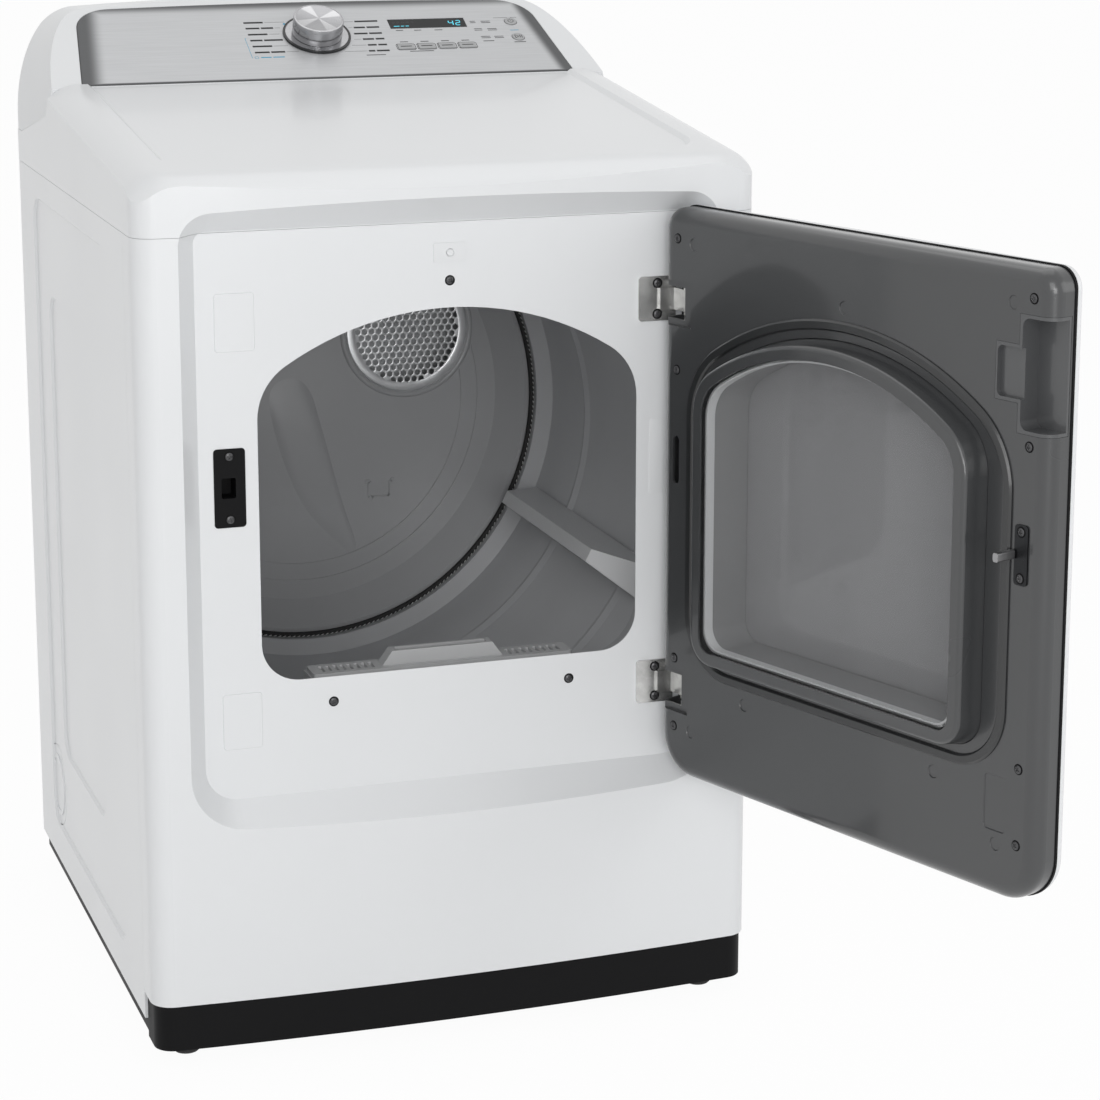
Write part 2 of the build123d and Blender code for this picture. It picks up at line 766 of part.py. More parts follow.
def console_form(inset):
    """The console's closed form: a wedge from the side, with rounded shoulders from the front."""
    with BuildPart(mode=Mode.PRIVATE) as form:
        with BuildSketch(beside(-half_width - 5)):
            with BuildLine():
                Polyline(
                    (console_foot_y, console_foot_z),
                    (console_foot_y, console_foot_z - 12),
                    seat_shoulder,
                    seat_heel,
                    (console_back_y, seat_heel[1]),
                    (console_back_y, console_back_z),
                )
                ThreePointArc(
                    (console_back_y, console_back_z),
                    (console_back_y - 30, console_top - 1),
                    (console_brow_y, console_brow_z),
                )
                Line((console_brow_y, console_brow_z), (console_foot_y, console_foot_z))
            make_face()
            if inset:
                offset(amount=-inset)
        extrude(amount=cabinet_width + 10)
        with BuildSketch(facing(console_foot_y - 20)):
            with BuildLine():
                Polyline(
                    (-half_width + inset, console_shoulder_z),
                    (-half_width + inset, 900),
                    (half_width - inset, 900),
                    (half_width - inset, console_shoulder_z),
                )
                EllipticalCenterArc(
                    (console_crown_half, console_shoulder_z),
                    half_width - inset - console_crown_half,
                    console_brow_z - inset - console_shoulder_z,
                    start_angle=0,
                    arc_size=90,
                )
                ThreePointArc(
                    (console_crown_half, console_brow_z - inset),
                    (0, console_top - inset + 2),
                    (-console_crown_half, console_brow_z - inset),
                )
                EllipticalCenterArc(
                    (-console_crown_half, console_shoulder_z),
                    half_width - inset - console_crown_half,
                    console_brow_z - inset - console_shoulder_z,
                    start_angle=90,
                    arc_size=90,
                )
            make_face()
        extrude(amount=-300, mode=Mode.INTERSECT)
    return form.part


fascia_foot = 3.0  # the fascia starts this far up the slope
fascia_corner = 46.0


def fascia_outline(shrink):
    """The fascia seen square to its face: straight foot, sides that lean in to rounded upper corners."""
    foot = fascia_half - shrink
    brow = console_crown_half + 10 - shrink
    with BuildSketch(mode=Mode.PRIVATE) as outline:
        with BuildLine():
            Polyline(
                (-brow, fascia_length - 4 - shrink),
                (-foot, fascia_foot + shrink),
                (foot, fascia_foot + shrink),
                (brow, fascia_length - 4 - shrink),
            )
            ThreePointArc(
                (brow, fascia_length - 4 - shrink),
                (0, fascia_length + 3 - shrink),
                (-brow, fascia_length - 4 - shrink),
            )
        make_face()
        fillet(outline.vertices().group_by(Axis.Y)[-1], fascia_corner - shrink)
    return outline.sketch


with BuildPart() as console_housing:
    add(console_form(seam))
    add(console_form(seam + console_wall), mode=Mode.SUBTRACT)
    with BuildSketch(on_fascia(3)):
        add(fascia_outline(0))
    extrude(amount=-fascia_thick - 3, mode=Mode.SUBTRACT)
    with BuildSketch(on_fascia(-seam)):
        add(fascia_outline(-2))
        add(fascia_outline(9), mode=Mode.SUBTRACT)
    extrude(amount=-fascia_thick - console_wall)
    with BuildSketch(on_fascia(3)):
        add(fascia_outline(0))
    extrude(amount=-fascia_thick - 3, mode=Mode.SUBTRACT)
finish(console_housing, "console_housing")

round_keys = ((power_x, power_along), (power_x, start_along))

with BuildPart() as console_fascia:
    with BuildSketch(on_fascia(-fascia_thick)):
        add(fascia_outline(fascia_gap))
    extrude(amount=fascia_thick + fascia_proud)
    chamfer(console_fascia.faces().sort_by(fascia_normal)[-1].edges(), 1.5)
    with BuildSketch(on_fascia(2)):
        with Locations((0, dial_along)):
            Circle(shaft_radius + running_gap)
        with Locations((display_x, display_along)):
            Rectangle(*display_size)
        with Locations(*[(x, key_along) for x in key_x]):
            Rectangle(key_size[0] + running_gap, key_size[1] + running_gap)
        with Locations(*round_keys):
            Circle(round_key_radius + running_gap)
    extrude(amount=-fascia_thick - 4, mode=Mode.SUBTRACT)
finish(console_fascia, "console_fascia")

with BuildPart() as display_window:
    with BuildSketch(on_fascia(-fascia_thick)):
        with Locations((display_x, display_along)):
            RectangleRounded(display_size[0] - 0.2, display_size[1] - 0.2, 1)
    extrude(amount=fascia_thick + fascia_proud - 0.4)
finish(display_window, "display_window")

with BuildPart() as dial_ring:
    with BuildSketch(on_fascia(fascia_proud)):
        with Locations((0, dial_along)):
            Circle(dial_ring_radius)
            Circle(dial_radius - 8, mode=Mode.SUBTRACT)
    extrude(amount=dial_ring_height)
    chamfer(dial_ring.edges().filter_by(GeomType.CIRCLE).sort_by(Edge.length)[-1], 1.2)
finish(dial_ring, "dial_ring")

board_rise = -fascia_thick - board_depth
stem_foot = board_rise + switch_cap[1] + key_travel + running_gap

with BuildPart() as dial_knob:
    with BuildSketch(on_fascia(fascia_proud + dial_ring_height + running_gap)):
        with Locations((0, dial_along)):
            Circle(dial_radius)
    extrude(amount=dial_height)
    chamfer(dial_knob.faces().sort_by(fascia_normal)[-1].edges(), 1.5)
    with BuildSketch(on_fascia(fascia_proud + dial_ring_height + running_gap)):
        with Locations((0, dial_along)):
            Circle(dial_radius - knob_wall)
            Circle(shaft_radius + knob_wall - 1, mode=Mode.SUBTRACT)
    extrude(amount=dial_height - knob_wall, mode=Mode.SUBTRACT)
    with BuildSketch(on_fascia(board_rise + switch_cap[0])):
        with Locations((0, dial_along)):
            Circle(shaft_radius)
    extrude(amount=-board_rise - switch_cap[0] + fascia_proud + dial_height - knob_wall / 2)
finish(dial_knob, "dial_knob")

with BuildPart() as control_board:
    with BuildSketch(on_fascia(board_rise)):
        with Locations(board_middle):
            Rectangle(*board_size)
    extrude(amount=-board_thick)
    with BuildSketch(on_fascia(board_rise)):
        with Locations((0, dial_along)):
            Rectangle(encoder_side, encoder_side)
            Circle(shaft_radius + running_gap, mode=Mode.SUBTRACT)
        with Locations((display_x, display_along)):
            Rectangle(display_size[0] + 2 * board_margin[0], display_size[1] + 2 * board_margin[1])
    extrude(amount=-board_rise - fascia_thick - running_gap)
    with BuildSketch(on_fascia(board_rise)):
        with Locations(*[(x, key_along) for x in key_x], *round_keys):
            Rectangle(switch_cap[0], switch_cap[0])
    extrude(amount=switch_cap[1])
    with BuildSketch(on_fascia(board_rise)):
        with Locations(*board_posts):
            Circle(board_post_radius)
    extrude(amount=-board_rise - fascia_thick)
finish(control_board, "control_board")


key_names = ("key_dryness", "key_heat", "key_time", "key_crease")
for key_name, x in zip(key_names, key_x):
    with BuildPart() as key:
        with BuildSketch(on_fascia(-fascia_thick)):
            with Locations((x, key_along)):
                RectangleRounded(key_size[0] - running_gap, key_size[1] - running_gap, 1.5)
        extrude(amount=fascia_thick + fascia_proud + key_height)
        chamfer(key.faces().sort_by(Axis.Z)[-1].edges(), 0.4)
        with BuildSketch(on_fascia(stem_foot)):
            with Locations((x, key_along)):
                Circle(key_stem_radius)
        extrude(until=Until.NEXT)
    finish(key, key_name)

for key_name, (x, along) in zip(("key_power", "key_start"), round_keys):
    with BuildPart() as key:
        with BuildSketch(on_fascia(-fascia_thick)):
            with Locations((x, along)):
                Circle(round_key_radius - running_gap)
        extrude(amount=fascia_thick + fascia_proud + key_height)
        chamfer(key.faces().sort_by(Axis.Z)[-1].edges(), 0.4)
        with BuildSketch(on_fascia(stem_foot)):
            with Locations((x, along)):
                Circle(key_stem_radius)
        extrude(until=Until.NEXT)
    finish(key, key_name)

# ------------------------------------------------------------------ door
pocket_middle = (pocket_z[1] + pocket_z[0]) / 2
pocket_tall = pocket_z[1] - pocket_z[0]
pocket_floor = -2.0  # from the hinge pins
latch_along = -latch_x
door_screw_x = door_half - 25.0
door_screws_at = [(-door_screw_x, z) for z in hinge_side_screws]
door_screws_at += [(door_screw_x, z) for z in latch_side_screws]
dimple_places = ((door_half - 51.0, 874.0), (door_half - 140.0, 385.0), (door_half - 53.0, 333.0))
dimples_at = [(side * x, z) for side in (-1, 1) for x, z in dimple_places]
dimples_at += [(0, 837.0)]
spare_slot = (635.5, 53.0, 10.0)  # height of its middle, length and width
spare_field = (374.5, 57.0)  # height of its middle and length
dimple_radius = 7.0
dimple_depth = 1.2
striker_screws_at = [(-striker_plate_x, latch_z + side * striker_screw) for side in (-1, 1)]
scoop_middle = (scoop_x[0] + scoop_x[1]) / 2
slot_inner = -(pin_x - 13)  # where the arm's slot ends on the inner face
cavity_inner = -(hinge_plate_x[0] + 22)  # where the sunken seat of the arm's boss ends
cavity_depth = 5.0


def door_solid(inset):
    """The inner panel's closed form, rounded over its inner face."""
    with BuildPart(mode=Mode.PRIVATE) as solid:
        with BuildSketch(door_face(panel_back)):
            add(door_outline(inset))
        extrude(amount=door_side - inset)
        fillet(solid.faces().sort_by(door_normal)[-1].edges(), door_edge - inset)
    return solid.part


door_form = door_solid(0)

with BuildPart() as door_inner_panel:
    add(door_form)
    add(door_solid(door_wall), mode=Mode.SUBTRACT)
    # sunken seats behind the inner face, then the cuts themselves
    with BuildPart(mode=Mode.PRIVATE) as seats:
        with BuildSketch(door_face(inner_face - cavity_depth - door_wall)):
            for z in hinge_z:
                with Locations(((-door_half + cavity_inner) / 2, z)):
                    Rectangle(door_half + cavity_inner + 2 * door_wall, 2 * (hinge_plate_half + door_wall))
        extrude(amount=cavity_depth + door_wall)
        add(door_form, mode=Mode.INTERSECT)
    add(seats.part)
    with BuildSketch(door_face(inner_face - cavity_depth)):
        for z in hinge_z:
            with Locations(((-door_half - 10 + cavity_inner) / 2, z)):
                Rectangle(door_half - 10 + cavity_inner + 20, 2 * hinge_plate_half)
    extrude(amount=cavity_depth + 1, mode=Mode.SUBTRACT)
    with BuildSketch(door_face(panel_back - 1)):
        for z in hinge_z:
            with Locations(((-door_half - 10 + slot_inner) / 2, z)):
                Rectangle(door_half + 10 + slot_inner, 2 * slot_half)
    extrude(amount=door_side + 2, mode=Mode.SUBTRACT)
    with BuildSketch(door_face(pocket_floor)):
        with Locations((door_half - pocket_x / 2 + 1, pocket_middle)):
            Rectangle(pocket_x + 2, pocket_tall)
    extrude(amount=inner_face - pocket_floor + 1, mode=Mode.SUBTRACT)
    with BuildSketch(door_face(inner_face - scoop_depth)):
        with Locations((scoop_middle, (scoop_z[0] + scoop_z[1]) / 2)):
            Rectangle(scoop_x[1] - scoop_x[0], scoop_z[1] - scoop_z[0])
    extrude(amount=scoop_depth + 1, mode=Mode.SUBTRACT)
    with BuildSketch(door_face(inner_face)):
        with Locations(*dimples_at):
            Circle(dimple_radius)
    extrude(amount=-dimple_depth, taper=30, mode=Mode.SUBTRACT)
    # slot for a striker and sunken field for a pocket, used when the door is hung at the left
    with BuildSketch(door_face(inner_face + 1)):
        with Locations((-door_screw_x, spare_slot[0])):
            SlotOverall(spare_slot[1], spare_slot[2], rotation=90)
    extrude(amount=-door_wall - 2, mode=Mode.SUBTRACT)
    with BuildSketch(door_face(inner_face)):
        with Locations((scoop_middle, spare_field[0])):
            RectangleRounded(scoop_x[1] - scoop_x[0] - 4, spare_field[1], 5)
    extrude(amount=-dimple_depth, taper=30, mode=Mode.SUBTRACT)
    with BuildSketch(door_face(inner_face + 1)):
        add(arch(-plug_inset + rest_gap))
        with Locations(*door_screws_at, *striker_screws_at):
            Circle(screw_shank + running_gap)
    extrude(amount=-door_side, mode=Mode.SUBTRACT)
finish(door_inner_panel, "door_inner_panel")

with BuildPart() as handle_pocket:
    with BuildSketch(door_face(pocket_floor + rest_gap)):
        with Locations((door_half - pocket_x / 2, pocket_middle)):
            Rectangle(pocket_x - 2 * rest_gap, pocket_tall - 2 * rest_gap)
    extrude(amount=inner_face - pocket_floor - rest_gap)
    with BuildSketch(door_face(inner_face - scoop_depth + rest_gap)):
        with Locations((scoop_middle, (scoop_z[0] + scoop_z[1]) / 2)):
            Rectangle(scoop_x[1] - scoop_x[0] - 2 * rest_gap, scoop_z[1] - scoop_z[0] - 2 * rest_gap)
    extrude(amount=scoop_depth - rest_gap)
    add(door_form, mode=Mode.INTERSECT)
    with BuildSketch(door_face(pocket_floor + rest_gap + door_wall)):
        with Locations((door_half - pocket_x / 2 + 10, pocket_middle)):
            RectangleRounded(pocket_x + 20 - 3 * door_wall, pocket_tall - 3 * door_wall, 9)
    extrude(amount=inner_face, mode=Mode.SUBTRACT)
    with BuildSketch(door_face(inner_face - scoop_depth + rest_gap + door_wall)):
        with Locations((scoop_middle + door_wall + 4, (scoop_z[0] + scoop_z[1]) / 2)):
            RectangleRounded(scoop_x[1] - scoop_x[0] + 8, scoop_z[1] - scoop_z[0] - 3 * door_wall, 6)
    extrude(amount=scoop_depth, mode=Mode.SUBTRACT)
finish(handle_pocket, "handle_pocket")


def outer_pan(inset):
    """The outer panel's closed form: the door's outline under a bowed skin."""
    rim = -outer_rim
    with BuildPart(mode=Mode.PRIVATE) as pan:
        with BuildSketch(door_level(door_bottom - 1)):
            with BuildLine():
                Polyline(
                    (pin_x - door_half - 1, -outer_face - inset),
                    (pin_x - door_half - 1, rim - 30 * (inset > 0)),
                    (pin_x + door_half + 1, rim - 30 * (inset > 0)),
                    (pin_x + door_half + 1, -outer_face - inset),
                )
                ThreePointArc(
                    (pin_x + door_half + 1, -outer_face - inset),
                    (pin_x, -outer_face - inset + door_bow),
                    (pin_x - door_half - 1, -outer_face - inset),
                )
            make_face()
        extrude(amount=door_top - door_bottom + 2)
        with BuildSketch(door_face(outer_face - 30)):
            add(door_outline(inset))
        extrude(amount=100, mode=Mode.INTERSECT)
    return pan.part


with BuildPart() as door_outer_panel:
    add(outer_pan(0))
    fillet(door_outer_panel.faces().sort_by(door_normal)[0].edges(), 3)
    add(outer_pan(1.6), mode=Mode.SUBTRACT)
    with BuildSketch(door_face(outer_rim)):
        add(door_outline(0))
        add(door_outline(door_groove + door_wall), mode=Mode.SUBTRACT)
    extrude(amount=-1.6)
    with BuildSketch(door_face(outer_rim)):
        add(door_outline(door_groove))
        add(door_outline(door_groove + door_wall), mode=Mode.SUBTRACT)
    extrude(amount=door_groove)
    with BuildSketch(door_face(outer_face - 20)):
        add(arch(-glass_inset + 6))
    extrude(amount=40, mode=Mode.SUBTRACT)
finish(door_outer_panel, "door_outer_panel")

with BuildPart() as door_glass_outer:
    with BuildSketch(door_face(outer_face - door_bow - 5)):
        add(arch(-glass_inset + 6 - rest_gap))
    extrude(amount=40)
    with BuildSketch(door_level(door_bottom)):
        with BuildLine():
            for depth, far in ((1, 1), (1 + glass_thick, -1)):
                ThreePointArc(
                    (pin_x + far * door_half, -outer_face - depth),
                    (pin_x, -outer_face - depth + door_bow),
                    (pin_x - far * door_half, -outer_face - depth),
                )
            for far in (-1, 1):
                across = pin_x + far * door_half
                Line((across, -outer_face - 1), (across, -outer_face - 1 - glass_thick))
        make_face()
    extrude(amount=door_top - door_bottom, mode=Mode.INTERSECT)
finish(door_glass_outer, "door_glass_outer")

plug_top = inner_face + plug_rise
plug_slant = tan(radians(plug_taper))


def plug_form(shrink, start, end):
    """The window frame's tapering form between two distances from the hinge pins."""
    margin = plug_inset + shrink + max(0, start - inner_face) * plug_slant
    with BuildPart(mode=Mode.PRIVATE) as form:
        with BuildSketch(door_face(start)):
            add(arch(-margin))
        extrude(amount=end - start, taper=plug_taper)
    return form.part


frame_flange = 3.0
with BuildPart() as window_frame:
    add(plug_form(0, inner_face - door_wall - rest_gap, plug_top))
    fillet(window_frame.faces().sort_by(door_normal)[-1].edges(), 5)
    with BuildSketch(door_face(inner_face - door_wall - rest_gap)):
        add(arch(3))
    extrude(amount=-frame_flange)
    frame_back = inner_face - door_wall - rest_gap - frame_flange
    with BuildSketch(door_face(frame_back)):
        add(arch(-plug_inset - door_wall))
    extrude(amount=plug_top - door_wall - frame_back, taper=plug_taper, mode=Mode.SUBTRACT)
    with BuildSketch(door_face(plug_top + 1)):
        add(arch(-glass_inset))
    extrude(amount=-10, mode=Mode.SUBTRACT)
finish(window_frame, "window_frame")

with BuildPart() as door_glass_inner:
    with BuildSketch(door_face(plug_top - door_wall - rest_gap)):
        add(arch(-glass_inset + 8))
    extrude(amount=-glass_thick)
finish(door_glass_inner, "door_glass_inner")

with BuildPart() as door_seal:
    with BuildSketch(door_face(inner_face)):
        add(arch(seal_ends, seal_sides))
        add(arch(seal_ends - seal_band, seal_sides - seal_band), mode=Mode.SUBTRACT)
    extrude(amount=door_gap - 2 * seal_gap)
    chamfer(door_seal.faces().sort_by(door_normal)[-1].edges(), 2)
finish(door_seal, "door_seal")

with BuildPart() as striker:
    with BuildSketch(door_face(inner_face)):
        with Locations((-striker_plate_x, latch_z)):
            RectangleRounded(*striker_plate, 4)
        with Locations(*striker_screws_at):
            Circle(screw_shank + running_gap, mode=Mode.SUBTRACT)
    extrude(amount=striker_plate_thick)
    with BuildSketch(door_face(inner_face)):
        with Locations((latch_along, latch_z)):
            RectangleRounded(striker_thick, striker_width, 1.5)
    extrude(amount=striker_reach)
    with BuildSketch(door_face(inner_face + striker_reach - striker_hook)):
        with Locations((latch_along - striker_lip / 2, latch_z)):
            RectangleRounded(striker_thick + striker_lip, striker_width, 1.5)
    extrude(amount=striker_hook, taper=12)
finish(striker, "striker")

with BuildPart() as door_screws:
    for places, seat in ((door_screws_at, inner_face), (striker_screws_at, inner_face + striker_plate_thick)):
        with BuildSketch(door_face(seat)):
            with Locations(*places):
                Circle(screw_head)
        extrude(amount=screw_rise)
        with BuildSketch(door_face(seat)):
            with Locations(*places):
                Circle(screw_shank)
        extrude(amount=-screw_length)
finish(door_screws, "door_screws")

ear_radius = 7.5
with BuildPart() as hinge_brackets:
    for z in hinge_z:
        with BuildSketch(door_level(z - slot_half + running_gap)):
            Circle(ear_radius)
            with Locations((24, 0)):
                Rectangle(48, 2 * ear_radius)
        extrude(amount=2 * (slot_half - running_gap))
        with BuildSketch(door_level(z - arm_half - running_gap)):
            with Locations((-3, 0)):
                Rectangle(2 * 15, 60)
        extrude(amount=2 * (arm_half + running_gap), mode=Mode.SUBTRACT)
        with BuildSketch(door_level(z - slot_half + running_gap)):
            Circle(pin_radius)
        extrude(amount=2 * (slot_half - running_gap))
finish(hinge_brackets, "hinge_brackets")

# ------------------------------------------------------------------ hinges, latch and switch on the cabinet
plate_face = recess_floor - hinge_plate_thick
boss_front = 14.5
boss_x = (pin_x - 27.0, pin_x - 9.0)
knuckle_radius = 6.0
arm_foot_x = pin_x - 8.5
switch_flange = 1.5
switch_back = 40.0

with BuildPart() as hinge_arms:
    for z in hinge_z:
        with BuildSketch(facing(recess_floor)):
            with Locations((plate_x, z)):
                RectangleRounded(hinge_plate_x[1] - hinge_plate_x[0], 2 * hinge_plate_half, 4)
                with Locations((0, plate_screw), (0, -plate_screw)):
                    Circle(screw_shank + running_gap, mode=Mode.SUBTRACT)
        extrude(amount=hinge_plate_thick)
        with BuildSketch(facing(plate_face)):
            with Locations(((boss_x[0] + boss_x[1]) / 2, z)):
                Rectangle(boss_x[1] - boss_x[0], 2 * arm_half)
        extrude(amount=plate_face - boss_front)
        with BuildSketch(level(z - arm_half)):
            with Locations((pin_x, pin_y)):
                Circle(knuckle_radius)
            with Locations((arm_foot_x, plate_face - arm_thick / 2)):
                Circle(arm_thick / 2)
            make_hull()
            with Locations((pin_x, pin_y)):
                Circle(pin_radius + shaft_gap, mode=Mode.SUBTRACT)
        extrude(amount=2 * arm_half)
finish(hinge_arms, "hinge_arms")

with BuildPart() as latch_catch:
    with BuildSketch(facing(recess_floor)):
        with Locations((latch_x, latch_z)):
            RectangleRounded(*latch_size, 4)
        with Locations(*latch_screws_at):
            Circle(screw_shank + running_gap, mode=Mode.SUBTRACT)
    extrude(amount=latch_proud)
    with BuildSketch(facing(recess_floor)):
        with Locations((latch_slot_x, latch_z)):
            Rectangle(*latch_box)
    extrude(amount=recess_floor - latch_back)
    with BuildSketch(facing(recess_floor - latch_proud - 1)):
        with Locations((latch_slot_x, latch_z)):
            RectangleRounded(*latch_slot, 2)
    extrude(amount=recess_floor - latch_back - latch_proud + door_wall, mode=Mode.SUBTRACT)
finish(latch_catch, "latch_catch")

with BuildPart() as door_switch:
    with BuildSketch(facing(recess_floor)):
        with Locations((0, switch_z)):
            RectangleRounded(*switch_size, 2)
    extrude(amount=switch_flange)
    with BuildSketch(facing(recess_floor)):
        with Locations((0, switch_z)):
            Rectangle(*switch_body)
    extrude(amount=recess_floor - switch_back)
    with BuildSketch(facing(recess_floor - switch_flange - 1)):
        with Locations((0, switch_z)):
            Circle(plunger_radius + running_gap)
    extrude(amount=recess_floor - switch_back + 1, mode=Mode.SUBTRACT)
finish(door_switch, "door_switch")

plunger_length = 14.0
with BuildPart() as switch_plunger:
    with BuildSketch(facing(recess_floor - plunger_proud)):
        with Locations((0, switch_z)):
            Circle(plunger_radius)
    extrude(amount=-plunger_length)
    chamfer(switch_plunger.faces().sort_by(Axis.Y)[0].edges(), 1)
finish(switch_plunger, "switch_plunger")

with BuildPart() as cabinet_screws:
    for places, seat in (
        (screw_places, recess_floor),
        (latch_screws_at, recess_floor - latch_proud),
        (hinge_screws_at, plate_face),
    ):
        with BuildSketch(facing(seat)):
            with Locations(*places):
                Circle(screw_head)
        extrude(amount=screw_rise)
        with BuildSketch(facing(seat)):
            with Locations(*places):
                Circle(screw_shank)
        extrude(amount=-screw_length)
finish(cabinet_screws, "cabinet_screws")

# ------------------------------------------------------------------ bulkheads
drum_axis = Axis((cabinet_x, cabinet_y, drum_z), (0, 1, 0))
carrier_radius = land_radius - drum_wall - seal_gap - felt_thick - rest_gap
roller_reach = land_radius + rest_gap + roller_radius
roller_x = roller_reach * sin(radians(roller_angle))
roller_z = drum_z - roller_reach * cos(radians(roller_angle))
roller_places = [(-roller_x, roller_z), (roller_x, roller_z)]
front_roller_y = drum_front + 2
rear_roller_y = drum_rear - land_length + 3
throat_front = recess_floor + sheet + rest_gap
bulkhead_middle = (bulkhead_top + bulkhead_bottom) / 2
duct_front = ledge_depth[0]
duct_back = ledge_depth[1]
duct_cut = 1.0


def round_drum(radius_out, radius_in, y_from, y_to):
    """A ring about the drum's axis."""
    with BuildPart(mode=Mode.PRIVATE) as ring:
        with BuildSketch(facing(y_to)):
            with Locations((0, drum_z)):
                Circle(radius_out)
                Circle(radius_in, mode=Mode.SUBTRACT)
        extrude(amount=y_to - y_from)
    return ring.part


def funnel(grow):
    """The throat's form from the recess floor to the front bulkhead."""
    with BuildPart(mode=Mode.PRIVATE) as form:
        with BuildSketch(facing(throat_front)):
            add(arch(1 + grow))
        with BuildSketch(facing(front_plate_y)):
            add(arch(throat_flare + grow))
        loft()
    return form.part


with BuildPart() as front_bulkhead:
    with BuildSketch(facing(front_plate_y)):
        with Locations((0, bulkhead_middle)):
            Rectangle(2 * bulkhead_half, bulkhead_top - bulkhead_bottom)
    extrude(amount=-front_plate)
    with BuildSketch(facing(front_plate_y)):
        for side in (-1, 1):
            with Locations((side * (bulkhead_half - front_plate / 2), bulkhead_middle)):
                Rectangle(front_plate, bulkhead_top - bulkhead_bottom)
    extrude(amount=front_plate_y - side_front - sheet - rest_gap)
    add(funnel(throat_wall))
    add(funnel(0), mode=Mode.SUBTRACT)
    with BuildSketch(facing(front_plate_y - 1)):
        add(arch(throat_flare))
    extrude(amount=-front_plate - 2, mode=Mode.SUBTRACT)
    add(round_drum(carrier_radius, carrier_radius - front_plate, front_plate_y, drum_front + felt_length))
    with BuildSketch(level(ledge_z - 40)):
        with Locations((0, (duct_front + duct_back) / 2)):
            Rectangle(2 * (ledge_half + duct_cut), duct_back - duct_front + 2 * duct_cut)
    extrude(amount=60, mode=Mode.SUBTRACT)
    with BuildSketch(facing(front_plate_y)):
        with Locations(*roller_places):
            Circle(roller_bore)
    extrude(amount=front_plate_y - front_roller_y - roller_width - 2)
finish(front_bulkhead, "front_bulkhead")

ridge_in = carrier_radius - 6
grille_hole_radius = grille_radius - grille_rim
with BuildPart() as rear_bulkhead:
    with BuildSketch(facing(rear_plate_y)):
        with Locations((0, bulkhead_middle)):
            Rectangle(2 * bulkhead_half, bulkhead_top - bulkhead_bottom)
        with Locations((0, drum_z)):
            Circle(carrier_radius - sheet / 2, mode=Mode.SUBTRACT)
    extrude(amount=-sheet)
    with BuildSketch(facing(rear_plate_y)):
        with Locations((0, bulkhead_middle)):
            Rectangle(2 * bulkhead_half, bulkhead_top - bulkhead_bottom)
            Rectangle(
                2 * (bulkhead_half - sheet), bulkhead_top - bulkhead_bottom - 2 * sheet, mode=Mode.SUBTRACT
            )
    extrude(amount=rear_plate_y - side_back + sheet + rest_gap)
    with BuildSketch(beside(0)):
        with BuildLine():
            Polyline(
                (rear_plate_y + sheet, drum_z + carrier_radius),
                (ridge_y, drum_z + carrier_radius),
                (ridge_y, drum_z + ridge_in),
                (dish_y, drum_z + dish_radius),
                (dish_y, drum_z),
                (dish_y + sheet, drum_z),
                (dish_y + sheet, drum_z + dish_radius + sheet / 2),
                (ridge_y + sheet, drum_z + ridge_in + sheet / 2),
                (ridge_y + sheet, drum_z + carrier_radius - sheet),
                (rear_plate_y + sheet, drum_z + carrier_radius - sheet),
                close=True,
            )
        make_face()
    revolve(axis=drum_axis)
    for rib in dish_ribs:
        add(round_drum(rib + dish_rib[0], rib - dish_rib[0], dish_y - dish_rib[1], dish_y))
    with BuildSketch(facing(dish_y - 5)):
        with Locations((grille_x, grille_z)):
            Circle(grille_radius + 4)
    extrude(amount=-5, mode=Mode.SUBTRACT)
    with BuildSketch(facing(dish_y - 5)):
        with Locations((grille_x, grille_z)):
            Circle(grille_hole_radius)
    extrude(amount=-10, mode=Mode.SUBTRACT)
    with BuildSketch(facing(rear_plate_y)):
        with Locations(*roller_places):
            Circle(roller_bore)
    extrude(amount=rear_plate_y - rear_roller_y + 2)
finish(rear_bulkhead, "rear_bulkhead")

grille_thick = 1.5
with BuildPart() as air_grille:
    with BuildSketch(facing(dish_y - rest_gap)):
        with Locations((grille_x, grille_z)):
            Circle(grille_radius)
            with HexLocations(grille_pitch / 2, grille_rows, grille_rows) as pattern:
                holes = [spot.position for spot in pattern.local_locations]
            with Locations(*[spot for spot in holes if spot.length < grille_hole_radius - grille_hole]):
                RegularPolygon(grille_hole, 6, mode=Mode.SUBTRACT)
    extrude(amount=grille_thick)
finish(air_grille, "air_grille")

with BuildPart() as drum_seals:
    felt_out = carrier_radius + rest_gap + felt_thick
    add(round_drum(felt_out, carrier_radius + rest_gap, drum_front, drum_front + felt_length))
    add(round_drum(felt_out, carrier_radius + rest_gap, drum_rear - felt_length, drum_rear))
finish(drum_seals, "drum_seals")

# ------------------------------------------------------------------ drum, baffles and rollers
def drum_form(shrink):
    """The drum's turned form: two ends that run on the rollers, a wide body, two pressed beads."""
    land = land_radius - shrink
    body = drum_radius - shrink
    points = [(drum_front, 0), (drum_front, land), (drum_front + land_length, land)]
    points += [(drum_front + land_length + land_cone, body)]
    for y in bead_places:
        points += [(y - bead_half, body), (y, body - bead_height), (y + bead_half, body)]
    points += [(drum_rear - land_length - land_cone, body), (drum_rear - land_length, land)]
    points += [(drum_rear, land), (drum_rear, 0)]
    with BuildPart(mode=Mode.PRIVATE) as form:
        with BuildSketch(beside(0)):
            with BuildLine():
                Polyline(*[(y, drum_z + r) for y, r in points], close=True)
            make_face()
        revolve(axis=drum_axis)
    return form.part


with BuildPart() as drum_shell:
    add(drum_form(0))
    add(drum_form(drum_wall), mode=Mode.SUBTRACT)
finish(drum_shell, "drum_shell")


